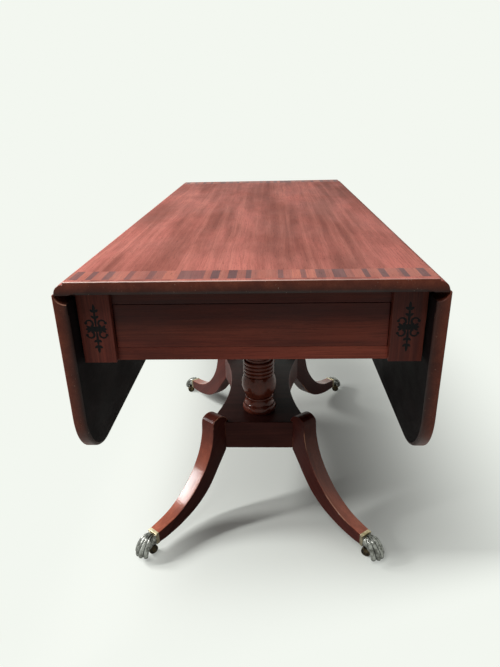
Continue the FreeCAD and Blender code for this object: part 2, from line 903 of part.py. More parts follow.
# Castors: made at the origin with the wheel trailing along +X

def castor_fork():
    half = wheel_width / 2 + wheel_gap
    outside = half + cheek_thickness
    crown_end = castor_trail + axle_boss_radius
    crown_plate = box(0, crown_end, -outside, outside, crown_bottom, crown_top)
    crown = Part.makeCylinder(crown_radius, crown_thickness, Vector(0, 0, crown_bottom), z_axis)
    stem = Part.makeCylinder(stem_radius, stem_length, Vector(0, 0, crown_top), z_axis)
    cheek = outline(
        Vector(0, -outside, crown_bottom),
        (Vector(castor_trail - axle_boss_radius, -outside, wheel_radius),),
        (
            Vector(castor_trail, -outside, wheel_radius - axle_boss_radius),
            Vector(crown_end, -outside, wheel_radius),
        ),
        (Vector(crown_end, -outside, crown_bottom),),
    ).extrude(y_axis * cheek_thickness)
    fork = fused([crown_plate, crown, stem, cheek, flip_y(cheek)])
    axle_place = Vector(castor_trail, -outside, wheel_radius)
    axle = Part.makeCylinder(axle_radius, 2 * outside, axle_place, y_axis)
    return fork.cut(axle), axle


def castor_wheel():
    half = wheel_width / 2
    bore = axle_radius + running_clearance
    rim = wheel_radius - wheel_round
    bend = wheel_round * quarter_mid_share
    face = outline(
        Vector(0, -half, bore),
        (Vector(0, -half, rim),),
        (Vector(0, -half + wheel_round - bend, rim + bend), Vector(0, -half + wheel_round, wheel_radius)),
        (Vector(0, half - wheel_round, wheel_radius),),
        (Vector(0, half - wheel_round + bend, rim + bend), Vector(0, half, rim)),
        (Vector(0, half, bore),),
    )
    wheel = face.revolve(origin, y_axis, 360)
    wheel.translate(Vector(castor_trail, 0, wheel_radius))
    return wheel


def make_castors():
    fork, axle = castor_fork()
    wheel = castor_wheel()
    pivot_x = seat_x + castor_place * math.cos(splay)
    pivot_y = seat_y + castor_place * math.sin(splay)
    for corner, heading in castor_headings.items():
        side = 1 if corner.endswith("right") else -1
        end = 1 if corner.startswith("back") else -1
        placed = []
        for shape in (fork, axle, wheel):
            copy = shape.copy()
            copy.rotate(origin, z_axis, heading)
            copy.translate(Vector(side * pivot_x, end * pivot_y, 0))
            placed.append(copy)
        keep(f"castor_fork_{corner}", placed[0], placed[1])
        keep(f"castor_wheel_{corner}", placed[2])


make_top()
make_leaves()
make_fixed_hinges()
make_frieze()
make_fly_brackets()
make_drawer()
make_drawer_carriers()
make_pillars()
make_platform()
make_legs()
make_castors()

os.makedirs("parts", exist_ok=True)
for name, shape in nodes.items():
    shape.exportStep(f"parts/{name}.step")
print(len(nodes), "nodes,", sum(len(shape.Solids) for shape in nodes.values()), "solids")
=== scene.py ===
import bpy
import bmesh
import json
import math
import random
from mathutils import Matrix, Vector, noise

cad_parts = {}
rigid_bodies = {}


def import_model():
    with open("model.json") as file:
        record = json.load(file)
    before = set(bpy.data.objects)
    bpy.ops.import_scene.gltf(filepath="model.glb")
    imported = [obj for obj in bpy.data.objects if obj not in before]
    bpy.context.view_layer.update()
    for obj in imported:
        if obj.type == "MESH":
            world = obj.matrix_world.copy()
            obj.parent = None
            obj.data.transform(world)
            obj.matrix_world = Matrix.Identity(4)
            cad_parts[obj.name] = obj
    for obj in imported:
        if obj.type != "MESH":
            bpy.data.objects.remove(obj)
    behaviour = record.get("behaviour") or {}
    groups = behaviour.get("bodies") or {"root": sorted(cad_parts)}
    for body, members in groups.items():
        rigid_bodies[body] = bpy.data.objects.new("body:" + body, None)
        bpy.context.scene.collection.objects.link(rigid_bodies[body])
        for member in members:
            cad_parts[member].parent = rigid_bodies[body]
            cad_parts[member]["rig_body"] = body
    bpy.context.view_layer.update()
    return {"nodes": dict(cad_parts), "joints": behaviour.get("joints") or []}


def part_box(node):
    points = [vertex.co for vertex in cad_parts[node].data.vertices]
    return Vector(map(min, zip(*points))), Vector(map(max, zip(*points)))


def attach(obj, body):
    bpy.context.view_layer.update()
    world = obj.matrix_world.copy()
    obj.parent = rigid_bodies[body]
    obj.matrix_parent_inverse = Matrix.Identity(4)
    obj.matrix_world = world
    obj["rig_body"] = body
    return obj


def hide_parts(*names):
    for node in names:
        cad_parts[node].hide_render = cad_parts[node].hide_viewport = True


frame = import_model()
joints = {joint["name"]: joint for joint in frame["joints"]}
print("frame loaded,", len(frame["nodes"]), "nodes")

mm = 0.001
near = 1e-6  # places closer than this count as one
nearest = 1e-7  # the same, for closing a line and for cutting through corners
xAxis = Vector((1, 0, 0))
yAxis = Vector((0, 1, 0))
zAxis = Vector((0, 0, 1))
corners = {"front_right": (1, -1), "front_left": (-1, -1), "back_right": (1, 1), "back_left": (-1, 1)}
sides = {"right": 1, "left": -1}


def unit(value):  # held between 0 and 1
    return min(1.0, max(0.0, value))


# Shader helpers

def tone(red, green, blue):  # a screen colour, 0 to 255, as the linear value that a shader takes
    parts = [c / 255 for c in (red, green, blue)]
    return (*[c / 12.92 if c < 0.04 else ((c + 0.055) / 1.055) ** 2.4 for c in parts], 1.0)


def join(tree, node, sockets):
    for key, value in sockets.items():
        if isinstance(value, bpy.types.NodeSocket):
            tree.links.new(value, node.inputs[key])
        else:
            node.inputs[key].default_value = value


def put(tree, kind, sockets=None, **settings):  # one node, with its inputs linked or set
    node = tree.nodes.new(kind if kind.startswith("NodeGroup") else "ShaderNode" + kind)
    for key, value in settings.items():
        setattr(node, key, value)
    join(tree, node, sockets or {})
    return node


def calc(tree, operation, first, second, clamp=False):
    return put(tree, "Math", {0: first, 1: second}, operation=operation, use_clamp=clamp).outputs[0]


def times(tree, first, second):
    return calc(tree, "MULTIPLY", first, second)


def mixTone(tree, factor, first, second):
    sockets = {0: factor, 6: first, 7: second}
    return put(tree, "Mix", sockets, data_type="RGBA", clamp_factor=True).outputs[2]


def remap(tree, value, low, high, toLow=0.0, toHigh=1.0):
    sockets = {0: value, 1: low, 2: high, 3: toLow, 4: toHigh}
    return put(tree, "MapRange", sockets, interpolation_type="SMOOTHSTEP").outputs[0]


def streaks(tree, vector, scale, detail=3.0, rough=0.55, turn=0.0):  # noise drawn out by a scale per axis
    mapped = put(tree, "Mapping", {"Vector": vector, "Scale": scale, "Rotation": (0, 0, turn)}).outputs[0]
    sockets = {"Vector": mapped, "Scale": 1.0, "Detail": detail, "Roughness": rough}
    return put(tree, "TexNoise", sockets).outputs[0]


def pattern(tree, vector, scale, detail, rough, low, high):  # streaks, spread out between two limits
    return remap(tree, streaks(tree, vector, scale, detail, rough), low, high)


def attribute(tree, name, output):
    return put(tree, "Attribute", attribute_name=name).outputs[output]


socketKinds = {"Vector": "Vector"}  # a socket with another name is a Float
socketKinds.update(dict.fromkeys(["Color", "Dark", "Mid", "Light", "Bright", "Dirt"], "Color"))


def newGroup(name, inputs, outputs):
    group = bpy.data.node_groups.new(name, "ShaderNodeTree")
    for way, titles in (("INPUT", inputs), ("OUTPUT", outputs)):
        for title in titles.split():
            kind = "NodeSocket" + socketKinds.get(title, "Float")
            group.interface.new_socket(name=title, in_out=way, socket_type=kind)
    return group, put(group, "NodeGroupInput").outputs, put(group, "NodeGroupOutput")


def useGroup(tree, group, look, **sockets):  # an input that isn't given has the look's own value
    node = put(tree, "Group", node_tree=group)
    for title in node.inputs.keys():
        if title not in sockets:
            sockets[title] = look[title.lower()]
    join(tree, node, sockets)
    return node.outputs


# Effects that several finishes share

# A pattern has a scale for each axis, detail, roughness and the limits that it is spread between
figureValues = dict(
    wander=((1.4, 5, 5), 2.0), sway=0.035, broad=((2.4, 15, 15), 6.0, 0.6, 0.3, 0.7),
    ribbon=((0.8, 70, 70), 3.0, 0.55, 0.40, 0.72), ribbonShare=0.4,
    fibre=(9, 430, 430), fibreLimits=(0.42, 0.68), fibreHeight=0.35,
    pores=((55, 1300, 1300), 1.0, 0.55, 0.60, 0.74), poreTone=tone(18, 8, 6),
    patches=((3.2, 6.5, 6.5), 6.0, 0.66, 0.42, 0.72),
)


def makeWoodFigure():  # the grain runs along the first axis of the vector
    v = figureValues
    inputs = "Vector Dark Mid Light Mottle Fibre Pores"
    group, given, result = newGroup("woodFigure", inputs, "Color Height")
    wander = streaks(group, given["Vector"], *v["wander"])
    sideways = put(group, "CombineXYZ", {1: wander, 2: wander}).outputs[0]
    moved = put(group, "VectorMath", {0: sideways, 3: v["sway"]}, operation="SCALE").outputs[0]
    path = put(group, "VectorMath", {0: given["Vector"], 1: moved}, operation="ADD").outputs[0]
    fibre = streaks(group, path, v["fibre"])
    colour = mixTone(group, pattern(group, path, *v["broad"]), given["Dark"], given["Mid"])
    ribbon = times(group, pattern(group, path, *v["ribbon"]), v["ribbonShare"])
    colour = mixTone(group, ribbon, colour, given["Light"])
    shade = times(group, remap(group, fibre, *v["fibreLimits"]), given["Fibre"])
    colour = mixTone(group, shade, colour, given["Dark"])
    patches = times(group, pattern(group, given["Vector"], *v["patches"]), given["Mottle"])
    colour = mixTone(group, patches, colour, given["Dark"])
    holes = times(group, pattern(group, path, *v["pores"]), given["Pores"])
    colour = mixTone(group, holes, colour, v["poreTone"])
    raised = calc(group, "SUBTRACT", times(group, fibre, v["fibreHeight"]), holes)
    join(group, result, {"Color": colour, "Height": raised})
    return group


polishValues = dict(
    cloud=((7, 10, 10), 5.0, 0.6, 0.35, 0.7), dust=((160, 160, 160), 2.0, 0.55, 0.5, 0.75), dustRough=0.05,
    scratch=((5, 700, 90), 2.0, 0.5), scratchTurns=(0.5, -0.9), scratchLimits=(0.66, 0.74), scratchRough=0.25,
)


def makeWaxPolish():  # hand polish: a cloudy gloss with rubbed scratches
    v = polishValues
    group, given, result = newGroup("waxPolish", "Vector Gloss Cloud Scratch", "Roughness Height")
    place = given["Vector"]
    lines = [streaks(group, place, *v["scratch"], turn) for turn in v["scratchTurns"]]
    scratch = remap(group, calc(group, "MAXIMUM", *lines), *v["scratchLimits"])
    scratch = times(group, scratch, given["Scratch"])
    cloud = times(group, pattern(group, place, *v["cloud"]), given["Cloud"])
    dust = times(group, pattern(group, place, *v["dust"]), v["dustRough"])
    rough = calc(group, "ADD", calc(group, "ADD", given["Gloss"], cloud), dust)
    rough = calc(group, "ADD", rough, times(group, scratch, v["scratchRough"]), True)
    join(group, result, {"Roughness": rough, "Height": times(group, scratch, -1.0)})
    return group


wearValues = dict(
    patchy=((9, 24, 24), 3.0, 0.5), start=0.85, reach=0.6, soft=0.12,
    knock=((130, 330, 330), 3.0, 0.6, 0.685, 0.72),
)


def makeEdgeWear():  # breaks up the rubbed arrises, and scatters small knocks over a surface
    v = wearValues
    group, given, result = newGroup("edgeWear", "Vector Edge Wear Knocks", "Rubbed Knock")
    patchy = streaks(group, given["Vector"], *v["patchy"])
    limit = calc(group, "SUBTRACT", v["start"], times(group, given["Wear"], v["reach"]))
    rubbed = remap(group, patchy, limit, calc(group, "ADD", limit, v["soft"]))
    rubbed = calc(group, "MULTIPLY", rubbed, given["Edge"], True)
    knock = times(group, pattern(group, given["Vector"], *v["knock"]), given["Knocks"])
    join(group, result, {"Rubbed": rubbed, "Knock": knock})
    return group


patinaValues = dict(
    stain=((70, 70, 70), 5.0, 0.65), stainLimits=(0.38, 0.62), stainRough=0.22,
    speck=((520, 520, 520), 3.0, 0.55, 0.45, 0.75), speckDirt=0.18, dirtRough=0.3, dirtCover=0.6,
)


def makeMetalPatina():  # cloudy tarnish, specks, and dirt left in the hollows; painted shade that comes in through Hollow darkens like the dirt
    v = patinaValues
    outputs = "Color Roughness Bare Height"
    group, given, result = newGroup("metalPatina", "Vector Hollow Bright Mid Dirt Gloss", outputs)
    stain = streaks(group, given["Vector"], *v["stain"])
    speck = pattern(group, given["Vector"], *v["speck"])
    colour = mixTone(group, remap(group, stain, *v["stainLimits"]), given["Mid"], given["Bright"])
    dirt = calc(group, "MAXIMUM", given["Hollow"], times(group, speck, v["speckDirt"]))
    rough = calc(group, "ADD", times(group, stain, v["stainRough"]), times(group, dirt, v["dirtRough"]))
    sockets = {"Color": mixTone(group, dirt, colour, given["Dirt"]), "Height": stain}
    sockets["Roughness"] = calc(group, "ADD", rough, given["Gloss"], True)
    sockets["Bare"] = calc(group, "SUBTRACT", 1.0, times(group, dirt, v["dirtCover"]))
    join(group, result, sockets)
    return group


woodFigure = makeWoodFigure()
waxPolish = makeWaxPolish()
edgeWear = makeEdgeWear()
metalPatina = makeMetalPatina()
print("shared effects made")


# Finishes

relief = dict(wood=0.2 * mm, knock=3.0, metal=0.3 * mm, metalBump=0.15)  # a knock is deeper than a fibre


def emptyTree(owner):
    owner.use_nodes = True
    owner.node_tree.nodes.clear()
    return owner.node_tree


def newMaterial(name):
    material = bpy.data.materials.new(name)
    tree = emptyTree(material)
    shader = put(tree, "BsdfPrincipled")
    put(tree, "OutputMaterial", {"Surface": shader.outputs[0]})
    return material, tree, shader


def makeWood(name, look, pale=None, turn=None):
    material, tree, shader = newMaterial(name)
    if turn is None:
        vector = attribute(tree, "grain", "Vector")
    else:  # a node of the frame: its object coordinates, turned so that the grain runs along the first axis
        place = put(tree, "TexCoord").outputs["Object"]
        vector = put(tree, "Mapping", {"Vector": place, "Rotation": (0, 0, turn)}).outputs[0]
    tones = {}
    if pale:  # each veneer, face or height has its own share of the paler wood; for the fade and polish shares the paler wood is painted light and the darker wood painted shade
        share = attribute(tree, pale, "Fac")
        for title in ("Dark", "Mid", "Light"):
            tones[title] = mixTone(tree, share, look[title.lower()], look["pale" + title])
    figure = useGroup(tree, woodFigure, look, Vector=vector, **tones)
    polish = useGroup(tree, waxPolish, look, Vector=vector)
    worn = useGroup(tree, edgeWear, look, Vector=vector, Edge=attribute(tree, "edge", "Fac"))
    # the rubbed tone is wear; on the top's end arrises it is partly a painted highlight
    colour = mixTone(tree, worn["Rubbed"], figure["Color"], look["rubbed"])
    colour = mixTone(tree, worn["Knock"], colour, look["knockTone"])
    height = calc(tree, "ADD", figure["Height"], polish["Height"])
    height = calc(tree, "SUBTRACT", height, times(tree, worn["Knock"], relief["knock"]))
    bump = put(tree, "Bump", {"Strength": look["bump"], "Distance": relief["wood"], "Height": height})
    sockets = {"Base Color": colour, "Roughness": polish["Roughness"], "Normal": bump.outputs[0]}
    sockets["Specular IOR Level"] = look["shine"]
    if "coat" in look:  # rubbed up where hands and cloths reach
        sockets["Coat Weight"] = times(tree, share, look["coat"])
        sockets["Coat Roughness"] = look["coatRough"]
    join(tree, shader, sockets)
    return material


# the top's rubbed tone is near white: on the end arrises it is partly wear and partly a painted highlight
topLook = dict(
    dark=tone(137, 80, 70), mid=tone(204, 123, 111), light=tone(221, 142, 126), rubbed=tone(240, 214, 202),
    knockTone=tone(80, 36, 28), mottle=0.6, fibre=0.35, pores=0.45, gloss=0.5, cloud=0.14, scratch=0.25,
    wear=1.05, knocks=0.3, bump=0.25, shine=0.03,
)
bandLook = dict(
    dark=tone(94, 56, 58), mid=tone(116, 72, 72), light=tone(134, 88, 84), rubbed=tone(196, 150, 124),
    paleDark=tone(168, 90, 74), paleMid=tone(200, 115, 96), paleLight=tone(214, 136, 112),
    knockTone=tone(60, 30, 26), mottle=0.2, fibre=0.5, pores=0.5, gloss=0.36, cloud=0.12, scratch=0.25,
    wear=0.5, knocks=0.2, bump=0.25, shine=0.1,
)
edgeLook = dict(
    dark=tone(30, 16, 14), mid=tone(44, 24, 20), light=tone(56, 32, 26), rubbed=tone(156, 108, 88),
    paleDark=tone(96, 45, 33), paleMid=tone(138, 71, 52), paleLight=tone(164, 92, 68),
    knockTone=tone(178, 150, 132), mottle=0.3, fibre=0.4, pores=0.4, gloss=0.40, cloud=0.2, scratch=0.3,
    wear=0.6, knocks=0.6, bump=0.35, shine=0.2,
)
friezeLook = dict(
    dark=tone(56, 27, 25), mid=tone(102, 49, 42), light=tone(130, 68, 55), rubbed=tone(142, 84, 68),
    paleDark=tone(84, 40, 34), paleMid=tone(158, 78, 62), paleLight=tone(196, 106, 82),
    knockTone=tone(44, 20, 16), mottle=0.5, fibre=0.45, pores=0.4, gloss=0.36, cloud=0.15, scratch=0.2,
    wear=0.4, knocks=0.2, bump=0.25, shine=0.15,
)
legLook = dict(
    dark=tone(66, 29, 25), mid=tone(90, 40, 34), light=tone(110, 54, 45), rubbed=tone(196, 138, 110),
    paleDark=tone(134, 63, 43), paleMid=tone(190, 97, 68), paleLight=tone(218, 125, 92),
    knockTone=tone(40, 20, 16), mottle=0.5, fibre=0.25, pores=0.2, gloss=0.3, cloud=0.08, scratch=0.15,
    wear=0.55, knocks=0.15, bump=0.12, shine=0.06, coat=0.75, coatRough=0.15,
)
platformLook = dict(
    dark=tone(40, 20, 18), mid=tone(60, 31, 27), light=tone(76, 41, 36), rubbed=tone(130, 84, 68),
    paleDark=tone(62, 31, 28), paleMid=tone(94, 50, 44), paleLight=tone(114, 63, 54),
    knockTone=tone(30, 16, 13), mottle=0.3, fibre=0.25, pores=0.2, gloss=0.3, cloud=0.1, scratch=0.15,
    wear=0.4, knocks=0.15, bump=0.15, shine=0.06,
)
# painted shade: the same mahogany made near black for the undersides and the leaves' inner faces, which lie
# in shade
shadedUnderLook = dict(
    dark=tone(12, 9, 10), mid=tone(19, 13, 14), light=tone(28, 19, 19), rubbed=tone(120, 78, 66),
    knockTone=tone(14, 9, 8), mottle=0.4, fibre=0.4, pores=0.3, gloss=0.46, cloud=0.2, scratch=0.2,
    wear=0.12, knocks=0.2, bump=0.3, shine=0.03,
)
innerLook = dict(
    dark=tone(98, 62, 38), mid=tone(134, 92, 58), light=tone(160, 118, 78), rubbed=tone(172, 136, 98),
    knockTone=tone(70, 44, 28), mottle=0.4, fibre=0.4, pores=0.3, gloss=0.62, cloud=0.2, scratch=0.1,
    wear=0.4, knocks=0.2, bump=0.35, shine=0.2,
)
topWood = makeWood("topWood", topLook)
bandWood = makeWood("bandWood", bandLook, "stripe")
# edge and frieze woods: their fade share is painted shade, darker where shade falls and paler where light
# falls
edgeWood = makeWood("edgeWood", edgeLook, "fade")
friezeWood = makeWood("friezeWood", friezeLook, "fade")
# leg and platform woods: their polish share is painted light and shade, paler on lit faces and darker on
# shaded ones; on the legs it also sets the coat
legWood = makeWood("legWood", legLook, "polish")
platformWood = makeWood("platformWood", platformLook, "polish")
underWood = makeWood("underWood", shadedUnderLook)
innerWood = makeWood("innerWood", innerLook)
innerAlongX = makeWood("innerWoodAlongX", innerLook, turn=0.0)
innerAlongY = makeWood("innerWoodAlongY", innerLook, turn=math.pi / 2)
boardWoods = [topWood, edgeWood, underWood]  # show side, edges, and the underside in near-black painted shade

pawLook = dict(
    bright=tone(156, 157, 152), mid=tone(90, 90, 85), dirt=tone(14, 14, 13), gloss=0.16, hollow=0.03,
)
ferruleLook = dict(
    bright=tone(228, 213, 180), mid=tone(164, 150, 116), dirt=tone(30, 25, 20), gloss=0.24, hollow=0.05,
)
bronzeLook = dict(
    bright=tone(86, 74, 52), mid=tone(50, 43, 32), dirt=tone(20, 18, 15), gloss=0.34, hollow=0.05,
)
ironLook = dict(
    bright=tone(96, 92, 88), mid=tone(62, 58, 56), dirt=tone(34, 24, 18), gloss=0.35, hollow=0.05,
)


def makeMetal(name, look):  # hollow: how far the worked-in dirt follows the form
    material, tree, shader = newMaterial(name)
    place = put(tree, "TexCoord").outputs["Object"]
    level = 0.5  # what Pointiness says of a flat place
    ridge = put(tree, "NewGeometry").outputs["Pointiness"]
    hollow = remap(tree, ridge, level - look["hollow"], level, 1.0, 0.0)
    # the attribute read here is painted shade on the paws' undersides and the collars' sides, joined to the
    # dirt in the hollows
    hollow = calc(tree, "MAXIMUM", hollow, attribute(tree, "grime", "Fac"))
    patina = useGroup(tree, metalPatina, look, Vector=place, Hollow=hollow)
    sockets = {"Strength": relief["metalBump"], "Distance": relief["metal"], "Height": patina["Height"]}
    bump = put(tree, "Bump", sockets)
    sockets = {"Base Color": patina["Color"], "Roughness": patina["Roughness"], "Metallic": patina["Bare"]}
    sockets["Normal"] = bump.outputs[0]
    join(tree, shader, sockets)
    return material


pawMetal = makeMetal("pawMetal", pawLook)
ferruleBrass = makeMetal("ferruleBrass", ferruleLook)
bronze = makeMetal("darkBronze", bronzeLook)
iron = makeMetal("darkIron", ironLook)

ebonyLook = dict(
    streak=((500, 500, 40), 3.0, 0.55, 0.4, 0.7), dark=tone(10, 10, 11), light=tone(26, 24, 24),
    rough=(0.4, 0.55), shine=0.1,
)


def makeEbony():
    v = ebonyLook
    material, tree, shader = newMaterial("ebony")
    streak = pattern(tree, put(tree, "TexCoord").outputs["Object"], *v["streak"])
    sockets = {"Base Color": mixTone(tree, streak, v["dark"], v["light"])}
    sockets["Roughness"] = remap(tree, streak, 0.0, 1.0, *v["rough"])
    sockets["Specular IOR Level"] = v["shine"]
    join(tree, shader, sockets)
    return material


ebony = makeEbony()
print("finishes made")


# Mesh helpers

def curveTo(bm, vert, middle, end, steps):  # an arc from vert through middle to end, spun round its centre
    a = vert.co - end
    b = middle - end
    normal = a.cross(b)
    inwards = (b * a.length_squared - a * b.length_squared).cross(normal)
    centre = end + inwards / (2 * normal.length_squared)
    axis = (middle - vert.co).cross(end - middle).normalized()
    first = vert.co - centre
    last = end - centre
    angle = math.atan2(axis.dot(first.cross(last)), first.dot(last)) % (2 * math.pi)
    made = bmesh.ops.spin(bm, geom=[vert], cent=centre, axis=axis, angle=angle, steps=steps)
    return made["geom_last"][0]


def drawLine(bm, start, moves, steps):  # a move is a point for a line, or a middle and an end for an arc
    first = bm.verts.new(start)
    here = first
    for move in moves:
        if len(move) == 2:
            here = curveTo(bm, here, Vector(move[0]), Vector(move[1]), steps)
        else:
            here = bmesh.ops.extrude_vert_indiv(bm, verts=[here])["verts"][0]
            here.co = move
    return first, here


def drawFace(bm, start, moves, steps):
    known = set(bm.edges)
    first, last = drawLine(bm, start, moves, steps)
    if (last.co - first.co).length < nearest:
        bmesh.ops.pointmerge(bm, verts=[first, last], merge_co=first.co)
    else:
        bm.edges.new((last, first))
    return bmesh.ops.edgeloop_fill(bm, edges=[e for e in bm.edges if e not in known])["faces"]


def turnOut(bm):  # lets every face look outwards
    bmesh.ops.recalc_face_normals(bm, faces=bm.faces)


def pick(made, kind):
    return [item for item in made if isinstance(item, kind)]


def push(bm, faces, vector):  # gives faces a thickness
    made = bmesh.ops.extrude_face_region(bm, geom=faces)["geom"]
    bmesh.ops.translate(bm, verts=pick(made, bmesh.types.BMVert), vec=vector)


def drawBlock(start, moves, steps, vector):  # an outline with its thickness
    bm = bmesh.new()
    push(bm, drawFace(bm, start, moves, steps), vector)
    turnOut(bm)
    return bm


def layStrip(bm, lines):  # a row of faces through cross lines, each a pair of points
    lines = [[Vector(point) for point in line] for line in lines]
    edge = bm.edges.new([bm.verts.new(point) for point in lines[0]])
    faces = []
    for before, line in zip(lines, lines[1:]):
        made = bmesh.ops.extrude_edge_only(bm, edges=[edge])["geom"]
        edge = pick(made, bmesh.types.BMEdge)[0]
        for v in edge.verts:
            v.co = line[0] if (v.co - before[0]).length < (v.co - before[1]).length else line[1]
        faces += pick(made, bmesh.types.BMFace)
    return faces


def spinRound(bm, centre, turns):  # a profile, turned fully round the upright
    geom = bm.verts[:] + bm.edges[:]
    angle = 2 * math.pi
    bmesh.ops.spin(bm, geom=geom, cent=centre, axis=zAxis, angle=angle, steps=turns, use_merge=True)


def span(edge, axis):  # how far an edge runs along x, y or z: 0, 1 or 2
    return abs(edge.verts[0].co[axis] - edge.verts[1].co[axis])


def liesAt(edge, axis, place):
    return all(abs(w.co[axis] - place) < near for w in edge.verts)


def sharpEdges(bm, angle=28, shortest=0.0):
    limit = math.radians(angle)
    found = [e for e in bm.edges if len(e.link_faces) == 2 and e.calc_face_angle(0) > limit]
    return [e for e in found if e.calc_length() > shortest]


def roundEdges(bm, edges, width, segments):
    return bmesh.ops.bevel(
        bm, geom=edges, offset=width, offset_type="OFFSET", segments=segments, profile=0.5,
        affect="EDGES", material=-1, clamp_overlap=False,
    )["faces"]


def breakArris(bm, width, edges, segments=3):  # rounds the edges, and marks the new faces as edge
    layer = bm.faces.layers.float.new("edge")
    turnOut(bm)
    for face in roundEdges(bm, edges, width, segments):
        face[layer] = 1.0


def sliceAcross(bm, axis, low, high, step):  # even cuts, so that an edge can be dented or a side bent
    count = max(1, round((high - low) / step))
    for i in range(count + 1):
        place = axis * (low + (high - low) * i / count)
        geom = bm.verts[:] + bm.edges[:] + bm.faces[:]
        bmesh.ops.bisect_plane(bm, geom=geom, dist=nearest, plane_co=place, plane_no=axis)


dents = dict(scale=70, seedWay=(1, 2.3, 0), least=0.12)


def dentEdges(bm, depth, seed):  # knocks along the rounded arrises
    layer = bm.faces.layers.float["edge"]
    shift = Vector([seed * part for part in dents["seedWay"]])
    bm.normal_update()
    for v in bm.verts:
        if v.link_faces and all(f[layer] > 0 for f in v.link_faces):
            dent = noise.noise(v.co * dents["scale"] + shift)
            v.co -= v.normal * depth * max(0.0, dent - dents["least"])


grainWay = (1.37, 0.73, 0.41)  # a seed takes its piece from that far off in the wood


def markGrain(bm, axes, seed):  # the place in the piece's own wood: along, across and through the grain
    layer = bm.verts.layers.float_vector.new("grain")
    shift = Vector([seed * part for part in grainWay])
    for v in bm.verts:
        v[layer] = Vector([v.co.dot(axis) for axis in axes]) + shift


def markFaces(bm, name, share):  # a value for each face, which its finish reads
    layer = bm.faces.layers.float.new(name)
    bm.normal_update()
    for face in bm.faces:
        face[layer] = share(face)


def markPaintedShade(bm, share):  # painted shade: how lit each place is taken to be, from 0 in shade to 1 in light
    layer = bm.verts.layers.float.new("fade")
    for v in bm.verts:
        v[layer] = unit(share(v.co))


def quarterRound(radius, steps):  # pairs of distance from the edge and rise, from the edge inwards
    angles = [math.pi / 2 * i / steps for i in range(steps + 1)]
    return [(radius * (1 - math.cos(a)), radius * (1 - math.sin(a))) for a in angles]


alongX = (xAxis, yAxis, zAxis)
alongY = (yAxis, xAxis, zAxis)
alongZ = (zAxis, xAxis, yAxis)


def mirrorTo(bm, corner):  # turns a front right piece into the one for another corner
    sideX, sideY = corners[corner]
    bmesh.ops.scale(bm, vec=(sideX, -sideY, 1), verts=bm.verts)
    turnOut(bm)


def addBox(bm, first, last):  # between two opposite corners
    size = Vector([abs(part) for part in Vector(last) - Vector(first)])
    middle = (Vector(last) + Vector(first)) / 2
    bmesh.ops.create_cube(bm, size=1.0, matrix=Matrix.LocRotScale(middle, None, size))


def toObject(name, bm):
    mesh = bpy.data.meshes.new(name)
    bm.to_mesh(mesh)
    bm.free()
    piece = bpy.data.objects.new(name, mesh)
    bpy.context.scene.collection.objects.link(piece)
    return piece


def withModifier(bm, kind, helpers=(), **settings):  # runs one modifier and gives its result as a bmesh
    work = toObject("work", bm)
    modifier = work.modifiers.new("work", kind)
    for key, value in settings.items():
        setattr(modifier, key, value)
    solved = bpy.data.meshes.new_from_object(work.evaluated_get(bpy.context.evaluated_depsgraph_get()))
    result = bmesh.new()
    result.from_mesh(solved)
    for item in (work, *helpers):
        mesh = item.data
        bpy.data.objects.remove(item)
        bpy.data.meshes.remove(mesh)
    bpy.data.meshes.remove(solved)
    return result


def cutAway(bm, cutter, overlaps=False):
    turnOut(bm)
    turnOut(cutter)
    tool = toObject("cutter", cutter)
    return withModifier(bm, "BOOLEAN", [tool], object=tool, operation="DIFFERENCE", use_self=overlaps)


def addPiece(name, bm, materials, body, slotName, nodes=(), smoothAngle=34, weighted=True):
    turnOut(bm)
    piece = toObject(name, bm)
    if "custom_normal" in piece.data.attributes:
        piece.data.attributes.remove(piece.data.attributes["custom_normal"])
    for material in materials:
        piece.data.materials.append(material)
    piece.data.shade_smooth()
    piece.data.set_sharp_from_angle(angle=math.radians(smoothAngle))
    if weighted:  # keeps the flats flat beside their rounded arrises
        piece.modifiers.new("flats", "WEIGHTED_NORMAL").keep_sharp = True
    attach(piece, body)
    if nodes:
        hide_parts(*nodes)


# Veneers of the crossbands, in mm along the band: the end band's dark ones are set, the paler ones vary

bandStripes = dict(
    dark=[
        (-262, 12), (-238, 9), (-214, 11), (-181, 9), (-150, 10), (-104, 38), (-56, 12), (-31, 13), (-5, 8),
        (42, 8), (75, 8), (97, 14), (122, 18), (166, 8), (190, 10), (221, 8), (246, 12),
    ],
    pale=dict(width=(9, 17), share=(0.55, 1.0)), deep=dict(width=(7, 16), share=(0.0, 0.25)), deepChance=0.7,
    seed=11, grainSeed=7, border=11 * mm, width=44 * mm, thickness=1.5 * mm, spare=1 * mm,
)


def endStops(low, high, chance):  # places across the top, and each veneer's share of pale wood
    pale, deep = bandStripes["pale"], bandStripes["deep"]
    stops = [low]
    shares = []
    for start, width in bandStripes["dark"]:
        while start - stops[-1] > pale["width"][1]:
            stops.append(stops[-1] + chance.uniform(*pale["width"]))
            shares.append(chance.uniform(*pale["share"]))
        stops += [start, start + width]
        shares += [chance.uniform(*pale["share"]), chance.uniform(*deep["share"])]
    return stops + [high], shares + [chance.uniform(*pale["share"])]


def randomStops(length, chance):  # every second veneer may be a dark one
    v = bandStripes
    stops = [0.0]
    shares = []
    while stops[-1] < length:
        isDeep = len(shares) % 2 == 1 and chance.random() < v["deepChance"]
        kind = v["deep"] if isDeep else v["pale"]
        stops.append(min(length, stops[-1] + chance.uniform(*kind["width"])))
        shares.append(chance.uniform(*kind["share"]))
    return stops, shares


def veneerRow(bm, lines, shares, thickness):  # one face for each veneer, given its thickness
    layer = bm.faces.layers.float.get("stripe") or bm.faces.layers.float.new("stripe")
    faces = layStrip(bm, lines)
    for face, share in zip(faces, shares):
        face[layer] = share
    push(bm, faces, thickness)


# Top board with its bands let in and pockets for the hinges

